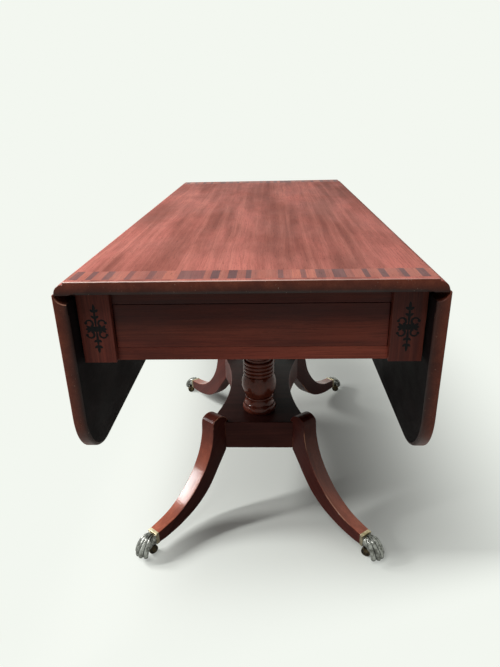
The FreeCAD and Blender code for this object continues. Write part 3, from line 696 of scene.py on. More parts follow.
topBoard = dict(
    arris=1.3 * mm, rim=1.6 * mm, cut=6 * mm, dent=0.25 * mm, arcSteps=12, seed=3,
    belly=5 * mm, bellySteps=4, bellyRun=12 * mm,
    wornTo=0.15, wornBend=1.6, wornSide=0.1, wornRim=0.55, wornDepth=1.56 * mm, flat=0.999,
    showDepth=0.91 * mm, showTilt=0.3, under=-0.985,
)
hingePocket = dict(
    places=(-450 * mm, 0.0, 450 * mm), width=38 * mm, fixedLength=32 * mm, leafLength=54 * mm,
    flap=2 * mm, barrel=3 * mm, room=0.5 * mm, spare=1 * mm,
)
pinX, pinZ = joints["right_leaf_hinge"]["pos_m"][0], joints["right_leaf_hinge"]["pos_m"][2]


def topPockets(low, high):  # what the hinges and the bands take out of the board
    p, b = hingePocket, bandStripes
    cutter = bmesh.new()
    half = p["width"] / 2
    wide = half + p["room"]
    floor = low.z - p["spare"]
    top = low.z + p["flap"]
    for y in p["places"]:
        for side in sides.values():
            flap = (side * (pinX - p["fixedLength"]), y - half, floor)
            addBox(cutter, flap, (side * pinX, y + half, top))
            swing = (side * (pinX - p["barrel"] - p["room"]), y - wide, floor)
            addBox(cutter, swing, (side * (high.x + p["spare"]), y + wide, top + p["room"]))
    edge = high.y - b["border"]
    for side in sides.values():
        band = (-pinX - b["spare"], side * edge, high.z - b["thickness"])
        addBox(cutter, band, (pinX + b["spare"], side * (edge - b["width"]), high.z + b["spare"]))
    return cutter


def topBlank(low, high):
    v = topBoard
    y = low.y
    radius = high.x - pinX
    reach = radius * math.sqrt(0.5)
    moves = [(pinX, y, high.z), (pinX, y, pinZ + radius)]
    moves.append(((pinX + reach, y, pinZ + reach), (high.x, y, pinZ)))
    moves += [(high.x, y, low.z), (-high.x, y, low.z), (-high.x, y, pinZ)]
    moves.append(((-pinX - reach, y, pinZ + reach), (-pinX, y, pinZ + radius)))
    bm = drawBlock((-pinX, y, high.z), moves, v["arcSteps"], yAxis * (high.y - y))
    breakArris(bm, v["arris"], [e for e in sharpEdges(bm) if not liesAt(e, 2, low.z)])
    sliceAcross(bm, xAxis, -pinX + v["cut"], pinX - v["cut"], v["cut"])
    return bm


def makeTop():
    v = topBoard
    low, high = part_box("table_top")
    bm = topBlank(low, high)
    rimPlace = high.y - v["arris"] - v["rim"]
    sliceAcross(bm, yAxis, -rimPlace, rimPlace, 2 * rimPlace)
    for inwards, rise in quarterRound(v["belly"], v["bellySteps"]):  # the ends are rounded under
        place = high.y - inwards
        sliceAcross(bm, yAxis, -place, place, 2 * place)
        for w in bm.verts:
            if abs(abs(w.co.y) - place) < near and w.co.z < low.z + near:
                run = (pinX - v["cut"] - abs(w.co.x)) / v["bellyRun"]  # it dies out before the joints
                w.co.z += rise * unit(run)
    dentEdges(bm, v["dent"], v["seed"])
    bm.normal_update()
    layer = bm.faces.layers.float["edge"]
    for face in bm.faces:  # the end arrises and a rim beside them are paler, part rubbed wear and part painted highlight, brightest at the left corner where the light falls and fading to the right
        place = face.calc_center_median()
        across = (place.x / high.x + 1) / 2
        wear = 1 + (v["wornTo"] - 1) * across ** v["wornBend"]
        above = abs(place.x) < pinX and place.z > high.z - v["wornDepth"]
        atEnd = above and abs(place.y) > rimPlace
        if atEnd and face.normal.z > v["flat"]:
            face[layer] = v["wornRim"] * wear
        else:
            face[layer] *= wear if atEnd else v["wornSide"]
    bm = cutAway(bm, topPockets(low, high), True)
    bm.normal_update()
    for face in bm.faces:
        place = face.calc_center_median()
        onTop = place.z > high.z - v["showDepth"]
        if abs(place.x) > pinX:
            onTop = face.normal.z > v["showTilt"] and abs(place.y) < high.y - v["arris"]
        face.material_index = 0 if onTop else 2 if face.normal.z < v["under"] else 1
    # painted shade: the board's edges are darker towards the bottom, which is rounded under and lies in shade
    markPaintedShade(bm, lambda co: (co.z - low.z) / (high.z - low.z))
    markGrain(bm, alongY, v["seed"])
    addPiece("table_top_board", bm, boardWoods, "frame", "top_mahogany", ["table_top"])


def makeEndBands():
    v = bandStripes
    chance = random.Random(v["seed"])
    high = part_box("table_top")[1]
    base = high.z - v["thickness"]
    bm = bmesh.new()
    for side in (-1, 1):
        stops, shares = endStops(-pinX / mm, pinX / mm, chance)
        outer = side * (high.y - v["border"])
        inner = outer - side * v["width"]
        lines = [[(-side * x * mm, y, base) for y in (outer, inner)] for x in stops]
        veneerRow(bm, lines, shares, zAxis * v["thickness"])
    markGrain(bm, alongY, v["grainSeed"])
    addPiece("end_crossband_veneers", bm, [bandWood], "frame", "crossband", ["end_crossbands"])


makeTop()
makeEndBands()
print("top made")


# Leaves: a coved board with rounded free corners, and a band let into its show face

leafBoard = dict(
    corner=92 * mm, cornerSteps=20, cornerPart=4.5, arris=1.4 * mm, cut=9 * mm, dent=0.2 * mm, longEdge=0.5,
    coveSteps=12, coveGap=0.5 * mm, belly=5 * mm, bellySteps=4, bellyRun=8 * mm,
    wornFace=0.3, show=0.5, under=-0.985, dentSeed=5, grainSeed=12, bandSeed=17,
)


def leafBand(low, high, chance):  # cross lines down one end, along the free edge and up, and their shares
    v, b = leafBoard, bandStripes
    outer = v["corner"] - b["border"]
    centreY = high.y - v["corner"]
    centreZ = low.z + v["corner"]
    run = high.z - centreZ
    bend = (outer - b["width"] / 2) * math.pi / 2
    total = 2 * run + 2 * bend + 2 * centreY
    stops, shares = randomStops(total / mm, chance)
    places = [0.0]
    allShares = []
    for start, end, share in zip(stops, stops[1:], shares):  # cut finer, to follow the corners
        parts = max(1, round((end - start) / v["cornerPart"]))
        places += [(start + (end - start) * (i + 1) / parts) * mm for i in range(parts)]
        allShares += [share] * parts
    lines = []
    for place in places:
        side = -1 if place < total / 2 else 1
        along = min(place, total - place)
        angle = unit((along - run) / bend) * math.pi / 2
        y = centreY - max(0.0, along - run - bend)
        z = centreZ + max(0.0, run - along)
        pair = [(y + r * math.cos(angle), z - r * math.sin(angle)) for r in (outer, outer - b["width"])]
        lines.append([(high.x - b["thickness"], side * across, up) for across, up in pair])
    return lines, allShares


def leafBlank(low, high):
    v = leafBoard
    y = low.y
    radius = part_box("table_top")[1].x - pinX + v["coveGap"]
    reach = radius * math.sqrt(0.5)
    coveX = pinX + math.sqrt(radius ** 2 - (pinZ - high.z) ** 2)
    coveZ = pinZ - math.sqrt(radius ** 2 - (pinX - low.x) ** 2)
    moves = [(coveX, y, high.z), ((pinX + reach, y, pinZ - reach), (low.x, y, coveZ))]
    moves += [(low.x, y, low.z), (high.x, y, low.z)]
    bm = drawBlock((high.x, y, high.z), moves, v["coveSteps"], yAxis * (high.y - y))
    feet = [e for e in bm.edges if liesAt(e, 2, low.z) and span(e, 0) > near]
    roundEdges(bm, feet, v["corner"], v["cornerSteps"])
    bm.normal_update()
    riseLayer = bm.verts.layers.float.new("rise")
    back = min(bm.faces, key=lambda face: face.calc_center_median().x)
    done = 0.0
    for inwards, rise in quarterRound(v["belly"], v["bellySteps"]):  # rings for the rounded inside arris
        if inwards > 0:
            bmesh.ops.inset_region(bm, faces=[back], thickness=inwards - done, use_even_offset=True)
        done = inwards
        for w in back.verts:
            w[riseLayer] = rise
    chosen = []
    for edge in sharpEdges(bm):
        start = edge.verts[0].co
        atJoint = start.z > coveZ - near and start.x < high.x - near and span(edge, 1) > v["longEdge"]
        if not atJoint and not liesAt(edge, 0, low.x):
            chosen.append(edge)
    breakArris(bm, v["arris"], chosen)
    sliceAcross(bm, zAxis, low.z + v["cut"], coveZ - v["cut"], v["cut"])
    sliceAcross(bm, yAxis, low.y + v["cut"], high.y - v["cut"], v["cut"])
    for w in bm.verts:
        if w.co.x < low.x + near:
            w.co.x += w[riseLayer] * unit((coveZ - v["belly"] - w.co.z) / v["bellyRun"])
    bm.verts.layers.float.remove(riseLayer)
    return bm


def makeLeaves():
    v, p, b = leafBoard, hingePocket, bandStripes
    low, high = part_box("leaf_right")
    blank = leafBlank(low, high)
    half = p["width"] / 2
    for name, side in sides.items():
        lines, shares = leafBand(low, high, random.Random(b["seed"] + side))
        cutter = bmesh.new()
        push(cutter, layStrip(cutter, lines), xAxis * (b["thickness"] + b["spare"]))
        for y in p["places"]:
            start = (low.x - p["spare"], y - half, pinZ - p["leafLength"])
            addBox(cutter, start, (low.x + p["flap"], y + half, pinZ - p["barrel"] - p["room"]))
        bm = blank.copy()
        dentEdges(bm, v["dent"], v["dentSeed"] + side)
        bm = cutAway(bm, cutter)
        bm.normal_update()
        layer = bm.faces.layers.float["edge"]
        for face in bm.faces:
            face.material_index = 0 if face.normal.x > v["show"] else 2 if face.normal.x < v["under"] else 1
            if face.material_index == 0:
                face[layer] *= v["wornFace"]
        # painted shade: the leaf's edges are darker towards its inner face, which lies in shade
        markPaintedShade(bm, lambda co: (co.x - low.x) / (high.x - low.x))
        mirrorTo(bm, "front_" + name)
        markGrain(bm, alongY, v["grainSeed"] + side)
        body = name + "_leaf"
        addPiece(f"leaf_board_{name}", bm, boardWoods, body, "top_mahogany", ["leaf_" + name])
        bm = bmesh.new()
        veneerRow(bm, lines, shares, xAxis * b["thickness"])
        mirrorTo(bm, "front_" + name)
        markGrain(bm, alongY, v["bandSeed"] + side)
        addPiece(f"leaf_veneers_{name}", bm, [bandWood], body, "crossband", ["leaf_crossband_" + name])
    blank.free()


makeLeaves()
print("leaves made")


# Frieze, drawer and bearers: the frame's own solids with their arrises broken and the grain set

posts = [f"corner_post_{corner}" for corner in corners]
brackets = [f"fly_bracket_{corner}" for corner in corners] + ["fly_centre_blocks", "fly_end_blocks"]
rails = ["front_top_rail", "front_bottom_rail", "back_top_rail", "back_bottom_rail", "dummy_drawer_front"]
friezePieces = dict(
    shortest=3 * mm, arrisSteps=2, flatAngle=0.01, postFade=0.5, fadeFrom=0.4, fadeRun=0.36, fadeStep=8 * mm,
    rows=[  # nodes, wood, slot, way of the grain, first seed and arris
        (posts, friezeWood, "frieze_mahogany", alongZ, 20, 0.8 * mm),
        (rails, friezeWood, "frieze_mahogany", alongX, 26, 0.4 * mm),
        (["side_rail_right", "side_rail_left"], innerWood, "secondary_wood", alongY, 32, 0.4 * mm),
        (brackets, innerWood, "secondary_wood", alongY, 36, 0.4 * mm),
        (["bearers"], legWood, "dark_mahogany", alongX, 44, 0.8 * mm),
        (["drawer_front"], friezeWood, "frieze_mahogany", alongX, 46, 0.8 * mm),
        (["drawer_sides"], innerWood, "secondary_wood", alongY, 47, 0.4 * mm),
        (["drawer_back"], innerWood, "secondary_wood", alongX, 48, 0.4 * mm),
    ],
)


def dressNode(node, material, slotName, axes, seed, arris):  # also for the castor forks
    v = friezePieces
    source = frame["nodes"][node]
    bm = bmesh.new()
    bm.from_mesh(source.data)
    bmesh.ops.remove_doubles(bm, verts=bm.verts, dist=near)
    bmesh.ops.dissolve_limit(bm, angle_limit=v["flatAngle"], verts=bm.verts, edges=bm.edges)
    for face in bm.faces:
        face.material_index = 0
    breakArris(bm, arris, sharpEdges(bm, shortest=v["shortest"]), v["arrisSteps"])
    if material == friezeWood:  # painted shade: the frieze is darker towards its top, where the overhang shades it; the posts get an even middle share
        low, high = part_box("corner_post_front_right")
        if node not in posts:
            sliceAcross(bm, zAxis, low.z, high.z, v["fadeStep"])
        start = high.z - v["fadeFrom"] * (high.z - low.z)
        run = v["fadeRun"] * (high.z - low.z)
        markPaintedShade(bm, lambda co: v["postFade"] if node in posts else (start - co.z) / run)
    markGrain(bm, axes, seed)
    addPiece(node + "_worked", bm, [material], source["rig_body"], slotName, [node])


for nodes, material, slotName, axes, seed, arris in friezePieces["rows"]:
    for i, node in enumerate(nodes):
        dressNode(node, material, slotName, axes, seed + i, arris)
print("frieze and drawer made")


# Ebony inlay on the end face of each post: drawn in mm about its middle, right and up

inlay = dict(
    middle=(237.5, 641), proud=0.12, step=0.004, sunk=0.6, leafSteps=8,
    bar=(17, 4.6), barLeaf=9.5, barLeafTilt=38, barLeafWide=2.1,
    scrollPlace=(9.8, 9.0), scrollRadius=5.6, scrollStart=255, scrollSweep=245, scrollWidth=(4.2, 1.9),
    scrollSteps=18, ball=2.3, ballSides=16, pairs=[(20.5, 6.2, 2.0), (30.5, 6.4, 2.1)], pairRise=(-3, 1.5),
    stemTop=32.8, stemWidth=1.9, tip=(27, 41), tipWidth=2.2,
)


def leafShape(bm, start, end, bulge):  # a pointed leaf between two points, with its widest part in the middle
    a = Vector((start[0], 0, start[1]))
    b = Vector((end[0], 0, end[1]))
    across = (b - a).cross(yAxis).normalized() * bulge
    middle = (a + b) / 2
    return drawFace(bm, a, [(middle + across, b), (middle - across, a)], inlay["leafSteps"])


def scrollShape(bm, turnX, turnZ):  # a tapering C
    v = inlay
    centre = Vector((turnX * v["scrollPlace"][0], 0, turnZ * v["scrollPlace"][1]))
    wide, slim = v["scrollWidth"]
    lines = []
    for i in range(v["scrollSteps"] + 1):
        share = i / v["scrollSteps"]
        angle = math.radians(v["scrollStart"] - v["scrollSweep"] * share)
        width = wide + (slim - wide) * share
        out = Vector((turnX * math.cos(angle), 0, turnZ * math.sin(angle)))
        lines.append([centre + out * (v["scrollRadius"] + width / 2 * s) for s in (1, -1)])
    return layStrip(bm, lines), (lines[-1][0] + lines[-1][1]) / 2


def inlayShapes(bm):  # the faces of each separate shape
    v = inlay
    yield leafShape(bm, (-v["bar"][0], 0), (v["bar"][0], 0), v["bar"][1])
    for turnX in (-1, 1):
        root = turnX * (v["bar"][0] - v["barLeaf"])
        for tilt in (-1, 0, 1):
            angle = math.radians(tilt * v["barLeafTilt"])
            tip = (root + turnX * v["barLeaf"] * math.cos(angle), v["barLeaf"] * math.sin(angle))
            yield leafShape(bm, (root, 0), tip, v["barLeafWide"])
        for turnZ in (-1, 1):
            faces, end = scrollShape(bm, turnX, turnZ)
            yield faces
            place = Matrix.Translation(end) @ Matrix.Rotation(math.pi / 2, 4, "X")
            ball = dict(segments=v["ballSides"], radius=v["ball"], matrix=place)
            made = bmesh.ops.create_circle(bm, cap_ends=True, **ball)
            yield list({face for vert in made["verts"] for face in vert.link_faces})
            for height, reach, bulge in v["pairs"]:
                start, end = [turnZ * (height + rise) for rise in v["pairRise"]]
                yield leafShape(bm, (0, start), (turnX * reach, end), bulge)
    for turnZ in (-1, 1):
        yield leafShape(bm, (0, 0), (0, turnZ * v["stemTop"]), v["stemWidth"])
        yield leafShape(bm, (0, turnZ * v["tip"][0]), (0, turnZ * v["tip"][1]), v["tipWidth"])


def makeInlay(corner):
    v = inlay
    bm = bmesh.new()
    for number, faces in enumerate(list(inlayShapes(bm))):  # each a hair prouder, so that none share a plane
        push(bm, faces, yAxis * -(v["sunk"] + v["proud"] + v["step"] * number))
    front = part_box("corner_post_front_right")[0].y
    bmesh.ops.scale(bm, vec=(mm, mm, mm), verts=bm.verts)
    place = Vector((v["middle"][0] * mm, front + v["sunk"] * mm, v["middle"][1] * mm))
    bmesh.ops.translate(bm, vec=place, verts=bm.verts)
    mirrorTo(bm, corner)
    addPiece(f"post_inlay_{corner}", bm, [ebony], "frame", "crossband", weighted=False)


for corner in corners:
    makeInlay(corner)
print("inlay made")


# Columns, turned from one profile: lower radius, upper radius and swell as shares of the radius, with a rise

reed = (0.84, 0.84, 10, 0.055)
turnedColumn = dict(
    radius=43.5 * mm, turns=96, arcSteps=10, polish=0.4, smoothAngle=40, seeds=(51, 52),
    members=[
        (0.908, 0.908, 17, 0.064), (0.897, 0.897, 3, 0), (0.862, 0.770, 16, -0.046), (0.793, 0.793, 5, 0.02),
        (0.736, 0.851, 58, 0.206), (0.805, 0.805, 2, 0), reed, reed, reed, reed, (0.77, 0.77, 6, 0),
        (0.736, 0.816, 40, 0.034), (0.816, 0.575, 85, 0.057), (0.621, 0.621, 8, 0.046),
        (0.598, 0.805, 28, -0.092), (0.839, 0.839, 4, 0), (0.851, 0.851, 12, 0.069), (0.943, 0.943, 11, 0),
    ],
)


def makeColumn(name, y, seed):
    v = turnedColumn
    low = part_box("platform")[1].z
    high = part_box("bearers")[0].z
    total = sum(member[2] for member in v["members"])
    moves = []
    z = low
    for start, end, rise, swell in v["members"]:
        top = z + (high - low) * rise / total
        moves.append((v["radius"] * start, y, z))
        point = (v["radius"] * end, y, top)
        bulge = v["radius"] * ((start + end) / 2 + swell)
        moves.append(((bulge, y, (z + top) / 2), point) if swell else point)
        z = top
    moves.append((0, y, z))
    bm = bmesh.new()
    drawLine(bm, (0, y, low), moves, v["arcSteps"])
    spinRound(bm, (0, y, 0), v["turns"])
    bmesh.ops.remove_doubles(bm, verts=bm.verts, dist=near)
    markFaces(bm, "polish", lambda face: v["polish"])
    markGrain(bm, alongZ, seed)
    addPiece(name + "_turned", bm, [legWood], "frame", "dark_mahogany", [name], v["smoothAngle"])


columnY = sum(point.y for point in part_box("column_back")) / 2
makeColumn("column_front", -columnY, turnedColumn["seeds"][0])
makeColumn("column_back", columnY, turnedColumn["seeds"][1])
print("columns made")


# Platform with its waisted sides: the right half of its plan in mm, with the waist as the middle of an arc

platformBlock = dict(
    plan=[(83, -203), (114.52, -178.37), (82, 0), (114.52, 178.37), (83, 203)],
    arcSteps=28, arris=2 * mm, facesUp=0.5, seed=55,
)


def makePlatform():
    v = platformBlock
    low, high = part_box("platform")
    right = [(x * mm, y * mm, low.z) for x, y in v["plan"]]
    left = [(-x, y, z) for x, y, z in reversed(right)]
    moves = []
    for row in (right, left):
        moves += [row[0], row[1], (row[2], row[3]), row[4]]
    bm = drawBlock(left[4], moves, v["arcSteps"], zAxis * (high.z - low.z))
    breakArris(bm, v["arris"], [e for e in sharpEdges(bm) if span(e, 2) < near])
    markFaces(bm, "polish", lambda face: 0.0 if face.normal.z > v["facesUp"] else 1.0)  # painted shade: its top, under the table top, is darker than its sides
    markGrain(bm, alongX, v["seed"])
    addPiece("platform_block", bm, [platformWood], "frame", "dark_mahogany", ["platform"])


makePlatform()
print("platform made")


# Sabre legs, drawn in mm in the leg's own plane: out from its seat, and up

sabreLeg = dict(
    seat=(98.76, -190.69), splay=-52,
    head=[(-10, 240), (10.67, 261.5), (34.83, 259.4), (39.9, 254.33), (42, 247.17)], headSteps=10,
    outer=[(46, 209.9), (61, 167.5), (90, 125.6), (128, 91.3), (177, 66.2), (236, 55.2)],
    inner=[(205, 27.9), (160, 35.1), (110, 52.6), (67, 82.3), (28, 128.5), (0, 162)],
    foot=27.5, width=40, footWidth=28, taper=(42, 226), arris=1.6, sharp=40, parts=8, cut=5,
    # polish: the least share and the heights between which the painted light on the outer face grows
    polish=(0.1, 245, 95), sideways=0.75, grain=(0.72, 0, -0.69), seed=60,
)


def smoothLine(points, parts):  # points between the given ones, on a curve that passes through them all
    ends = [points[0] * 2 - points[1], *points, points[-1] * 2 - points[-2]]
    line = []
    for a, b, c, d in zip(ends, ends[1:], ends[2:], ends[3:]):
        for i in range(parts):
            t = i / parts
            square = (a * 2 - b * 5 + c * 4 - d) * t * t
            cube = (b * 3 - a - c * 3 + d) * t ** 3
            line.append((b * 2 + (c - a) * t + square + cube) / 2)
    return line + [points[-1]]


def toCorner(bm, corner):  # from the leg's own plane, in mm, to its corner of the platform, in metres
    v = sabreLeg
    turn = Matrix.Rotation(math.radians(v["splay"]), 4, "Z")
    place = Matrix.Translation(Vector((*v["seat"], 0)))
    bmesh.ops.transform(bm, matrix=Matrix.Scale(mm, 4) @ place @ turn, verts=bm.verts)
    mirrorTo(bm, corner)


def legPolishAndPaintedLight(face):  # painted light and shade: the outer face is paler the lower it is, where light reaches under the leaf, while the sides, the upper part and the faces turned away stay dark as in shade; the same share sets the coat
    least, high, low = sabreLeg["polish"]
    if abs(face.normal.y) > sabreLeg["sideways"] or face.normal.x + face.normal.z < 0:
        return 0.0
    return min(1.0, max(least, (high - face.calc_center_median().z) / (high - low)))


def makeLeg(corner, seed):
    v = sabreLeg
    half = v["width"] / 2
    head, outer, inner = [[Vector((x, -half, z)) for x, z in v[part]] for part in ("head", "outer", "inner")]
    foot = Vector((outer[-1].x, -half, v["foot"]))
    moves = [(head[1], head[2]), (head[3], head[4])]
    moves += smoothLine([head[4], *outer], v["parts"])[1:] + smoothLine([foot, *inner], v["parts"])
    moves.append((0, -half, head[0].z))
    bm = drawBlock(head[0], moves, v["headSteps"], yAxis * v["width"])
    start, end = v["taper"]
    sliceAcross(bm, xAxis, v["cut"], v["outer"][-1][0] - v["cut"], v["cut"])
    for w in bm.verts:
        w.co.y *= 1 + (v["footWidth"] / v["width"] - 1) * unit((w.co.x - start) / (end - start))
    breakArris(bm, v["arris"], sharpEdges(bm, v["sharp"]))
    markFaces(bm, "polish", legPolishAndPaintedLight)
    grain = Vector(v["grain"])
    markGrain(bm, [axis * mm for axis in (grain, yAxis, grain.cross(yAxis))], seed)
    toCorner(bm, corner)
    addPiece(f"leg_{corner}_shaped", bm, [legWood], "frame", "dark_mahogany", ["leg_" + corner])


for number, corner in enumerate(corners):
    makeLeg(corner, sabreLeg["seed"] + number)
print("legs made")


# Paw caps, in mm in the leg's own plane: masses that are melted into one casting

pawCap = dict(
    floor=25.5, castor=254, well=21.6, voxel=0.7, smooth=4, smoothBy=0.5, smoothAngle=60, ballDetail=3,
    socket=((236, -13, 27.4), (241.5, 13, 52)),
    body=[
        ((245, 0, 40), (13, 15.4, 15), 10), ((250, 0, 38.6), (15, 15.8, 13.5), 14),
        ((260, 0, 34), (15, 16, 12.5), 30), ((270, 0, 25.5), (11, 15.4, 11.5), 20),
    ],
    toe=[  # places down a toe and its radius there, for a share of 1 and before the outer toes are set back
        (245, 6.4, 51.8, 2.4), (252, 8.6, 50.8, 3.6), (260.5, 11.2, 47.4, 5), (268.5, 12.8, 40.4, 5.2),
        (275.4, 13.5, 32, 6), (280, 13.6, 23.8, 6.3), (281, 13.3, 19.5, 5.8),
    ],
    toeParts=4, toeY=(1, 0.335, -0.335, -1), outerBack=7, outerDrop=2,
    grimeTilt=(-0.05, 0.6), grimeHeight=(20, 10),
)
pawFerrule = dict(
    start=231.5, end=239.5, half=14.5, top=(56.6, 55.4), floor=26.6, round=2, roundSteps=4,
    bead=1.8, proud=0.5, rim=0.7, rimSteps=3, rimSpan=0.1, sharp=50, sideGrime=0.6, sideways=0.6,
)


def mass(bm, place, radii, tilt=0.0):  # one rounded mass, tipped down by tilt
    turn = Matrix.Rotation(math.radians(tilt), 4, "Y")
    matrix = Matrix.Translation(Vector(place)) @ turn @ Matrix.Diagonal((*radii, 1))
    bmesh.ops.create_icosphere(bm, subdivisions=pawCap["ballDetail"], radius=1.0, matrix=matrix)


def addToe(bm, share):  # a row of balls from the collar over the knuckle to the toe end
    v = pawCap
    isOuter = abs(share) == 1
    points = [Vector((x, y * share, z, radius)) for x, y, z, radius in v["toe"]]
    row = smoothLine(points, v["toeParts"])
    for i, (x, y, z, radius) in enumerate(row):
        along = i / (len(row) - 1) if isOuter else 0.0
        mass(bm, (x - v["outerBack"] * along, y, z - v["outerDrop"] * along), (radius, radius, radius))


def pawPaintedShade(face):  # painted shade: the undersides and the low toe ends are darkened, where shade falls
    v = pawCap
    under = (v["grimeTilt"][0] - face.normal.z) / v["grimeTilt"][1]
    low = (v["grimeHeight"][0] - face.calc_center_median().z) / v["grimeHeight"][1]
    return unit(max(under, low))


def pawCasting():
    v = pawCap
    bm = bmesh.new()
    addBox(bm, *v["socket"])
    for place, radii, tilt in v["body"]:
        mass(bm, place, radii, tilt)
    for share in v["toeY"]:
        addToe(bm, share)
    bmesh.ops.scale(bm, vec=(mm, mm, mm), verts=bm.verts)
    bm = withModifier(bm, "REMESH", mode="VOXEL", voxel_size=v["voxel"] * mm)
    bmesh.ops.scale(bm, vec=(1 / mm, 1 / mm, 1 / mm), verts=bm.verts)
    axes = dict(use_axis_x=True, use_axis_y=True, use_axis_z=True)
    for i in range(v["smooth"]):
        bmesh.ops.smooth_vert(bm, verts=bm.verts, factor=v["smoothBy"], **axes)
    for w in bm.verts:  # the castor turns in a well under the paw
        if math.hypot(w.co.x - v["castor"], w.co.y) < v["well"]:
            w.co.z = max(w.co.z, v["floor"])
    markFaces(bm, "grime", pawPaintedShade)
    return bm


def ferruleCasting():  # a tapered band with a bead at its paw end
    v = pawFerrule
    bm = bmesh.new()
    slope = (v["top"][1] - v["top"][0]) / (v["end"] - v["start"])
    parts = [(v["start"], v["end"], 0.0), (v["end"] - v["bead"], v["end"], v["proud"])]
    for start, end, proud in parts:
        known = set(bm.verts)
        half = v["half"] + proud
        addBox(bm, (start, -half, v["floor"]), (end, half, v["top"][0] + proud))
        fresh = [w for w in bm.verts if w not in known]
        for w in fresh:
            if w.co.z > v["floor"] + v["round"]:
                w.co.z += slope * (w.co.x - v["start"])
        edges = list({e for w in fresh for e in w.link_edges})
        roundEdges(bm, [e for e in edges if span(e, 0) > v["rimSpan"]], v["round"], v["roundSteps"])
    rims = [e for e in sharpEdges(bm, v["sharp"]) if span(e, 0) < v["rimSpan"]]
    roundEdges(bm, rims, v["rim"], v["rimSteps"])
    # painted shade: the collar's sides are darker than its top
    markFaces(bm, "grime", lambda face: v["sideGrime"] if abs(face.normal.y) > v["sideways"] else 0.0)
    return bm


def makePaws():
    casting = pawCasting()
    ferrule = ferruleCasting()
    smoothAngle = pawCap["smoothAngle"]
    for corner in corners:
        bm = casting.copy()
        toCorner(bm, corner)
        node = "paw_cap_" + corner
        addPiece(f"paw_{corner}_cast", bm, [pawMetal], "frame", "brass", [node], smoothAngle, False)
        bm = ferrule.copy()
        toCorner(bm, corner)
        addPiece(f"paw_{corner}_ferrule", bm, [ferruleBrass], "frame", "brass")
    casting.free()
    ferrule.free()


makePaws()
print("paws made")


# Castors: a turned wheel with a groove either side, in the frame's own fork

castorWheel = dict(
    radius=11, half=6, bore=2.05, round=2, hub=4.6, dish=0.9, dishSlope=0.8, rimFlat=0.4, arcSteps=5,
    turns=48, forkArris=0.3 * mm, forkSeed=0,
)


def wheelProfile():
    v = castorWheel
    radius, half, dish, slope = v["radius"], v["half"], v["dish"], v["dishSlope"]
    rim = radius - v["round"]
    flat = rim - v["rimFlat"]
    bend = v["round"] * (1 - math.sqrt(0.5))
    face = [(v["hub"], 0), (v["hub"] + slope, dish), (flat - slope, dish), (flat, 0), (rim, 0)]
    low = [(r, 0, depth - half) for r, depth in face]
    high = [(r, 0, half - depth) for r, depth in reversed(face)]
    moves = low + [((radius - bend, 0, bend - half), (radius, 0, v["round"] - half))]
    moves += [(radius, 0, half - v["round"]), ((radius - bend, 0, half - bend), high[0])]
    return moves + high[1:]


def makeCastor(corner):
    v = castorWheel
    joint = joints["wheel_spin_" + corner]
    bm = bmesh.new()
    moves = wheelProfile() + [(v["bore"], 0, v["half"])]
    first, last = drawLine(bm, (v["bore"], 0, -v["half"]), moves, v["arcSteps"])
    bm.edges.new((last, first))
    spinRound(bm, (0, 0, 0), v["turns"])
    turn = zAxis.rotation_difference(Vector(joint["axis"]).normalized()).to_matrix().to_4x4()
    matrix = Matrix.Translation(Vector(joint["pos_m"])) @ turn @ Matrix.Scale(mm, 4)
    bmesh.ops.transform(bm, matrix=matrix, verts=bm.verts)
    wheel = "castor_wheel_" + corner
    addPiece(wheel + "_turned", bm, [bronze], "wheel_" + corner, "brass", [wheel])
    dressNode("castor_fork_" + corner, bronze, "brass", alongX, v["forkSeed"], v["forkArris"])


for corner in corners:
    makeCastor(corner)
print("castors made")


# Finishes of the frame's own nodes that stay

nodeFinishes = dict(
    drawer_bottom=innerAlongX, drawer_stops=innerAlongX, drawer_runners=innerAlongY,
    drawer_kickers=innerAlongY, fly_pins=iron, bearer_screws=iron,
)
nodeFinishes.update({node: iron for node in frame["nodes"] if node.startswith("hinge_")})
for node, finish in nodeFinishes.items():
    for place in frame["nodes"][node].material_slots:
        place.material = finish
print("frame nodes finished")


# Floor, light and camera

studio = dict(
    pale=tone(243, 247, 240), bounce=tone(148, 146, 142), floorSize=14.0, floorSides=96, ambient=0.09,
    fades=[  # the floor turns into the backdrop: a way, and how far along it the change starts and ends; close to the table on the right and in front this glow is painted light over part of its cast shadow
        ((0.29, -0.957, 0), 0.38, 0.62), ((1, 0, 0), 0.08, 0.95), ((-1, 0, 0), 0.1, 0.5),
        ((0, 1, 0), 0.7, 1.4),
    ],
    lamps=[  # name, place, aim, size, roll and energy
        ("window", (-2.15, 0.42, 1.62), (0, 0, 0.3), (0.65, 0.65), 0, 33),
        ("gleam", (-1.95, -0.345, 1.4), (-0.164, -0.274, 0.11), (1.3, 0.18), 124.5, 27),
        ("room", (-0.5, -1.2, 2.3), (0, -0.3, 0.4), (1.2, 1.2), 0, 22),
    ],
)
cameraView = dict(
    lens=28.15, sensor=36, place=(0.0309965, -1.3059665, 0.9398414), yaw=0.0433, pitch=0.3963, roll=-0.0235,
)


def seenMask(tree):  # camera, mirror and glass rays see the pale backdrop itself
    path = put(tree, "LightPath").outputs
    seen = calc(tree, "MAXIMUM", path["Is Camera Ray"], path["Is Glossy Ray"])
    return calc(tree, "MAXIMUM", seen, path["Is Transmission Ray"])


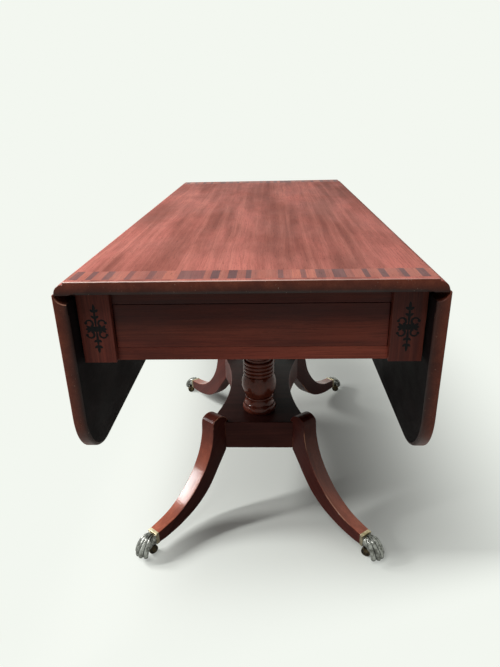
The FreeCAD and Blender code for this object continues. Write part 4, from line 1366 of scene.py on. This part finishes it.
def makeFloor():
    v = studio
    material = bpy.data.materials.new("paleFloor")
    tree = emptyTree(material)
    place = put(tree, "TexCoord").outputs["Object"]
    seen = seenMask(tree)
    fade = 0.0
    for way, start, end in v["fades"]:
        along = put(tree, "VectorMath", {0: place, 1: way}, operation="DOT_PRODUCT").outputs["Value"]
        fade = calc(tree, "MAXIMUM", remap(tree, along, start, end), fade)
    fade = times(tree, fade, seen)
    diffuse = put(tree, "BsdfDiffuse", {"Color": mixTone(tree, seen, v["bounce"], v["pale"])}).outputs[0]
    backdrop = put(tree, "Emission", {"Color": v["pale"], "Strength": 1.0}).outputs[0]
    mixed = put(tree, "MixShader", {0: fade, 1: diffuse, 2: backdrop}).outputs[0]
    put(tree, "OutputMaterial", {"Surface": mixed})
    bm = bmesh.new()
    bmesh.ops.create_circle(bm, cap_ends=True, segments=v["floorSides"], radius=v["floorSize"])
    floor = toObject("floor", bm)
    floor.data.materials.append(material)


def makeWorld():
    v = studio
    world = bpy.data.worlds.new("studio")
    bpy.context.scene.world = world
    tree = emptyTree(world)
    seen = put(tree, "Background", {"Color": v["pale"], "Strength": 1.0}).outputs[0]
    light = put(tree, "Background", {"Color": (1, 1, 1, 1), "Strength": v["ambient"]}).outputs[0]
    mixed = put(tree, "MixShader", {0: seenMask(tree), 1: light, 2: seen}).outputs[0]
    put(tree, "OutputWorld", {"Surface": mixed})


def makeLamp(name, place, aim, size, roll, energy):
    lamp = bpy.data.lights.new(name, "AREA")
    lamp.shape = "ELLIPSE"
    lamp.size, lamp.size_y = size
    lamp.energy = energy
    item = bpy.data.objects.new(name, lamp)
    item.location = place
    way = (Vector(aim) - Vector(place)).to_track_quat("-Z", "Y").to_matrix()
    item.rotation_euler = (way @ Matrix.Rotation(math.radians(roll), 3, "Z")).to_euler()
    bpy.context.scene.collection.objects.link(item)


def makeCamera():
    v = cameraView
    camera = bpy.data.cameras.new("camera")
    camera.lens = v["lens"]
    camera.sensor_width = v["sensor"]
    turn = Matrix.Rotation(v["yaw"], 3, "Z") @ Matrix.Rotation(math.pi / 2 - v["pitch"], 3, "X")
    turn = turn @ Matrix.Rotation(v["roll"], 3, "Z")
    item = bpy.data.objects.new("camera", camera)
    item.matrix_world = Matrix.Translation(Vector(v["place"])) @ turn.to_4x4()
    bpy.context.scene.collection.objects.link(item)
    bpy.context.scene.camera = item


makeFloor()
makeWorld()
for lampValues in studio["lamps"]:
    makeLamp(*lampValues)
makeCamera()
bpy.context.scene.view_settings.view_transform = "Standard"
print("studio made")
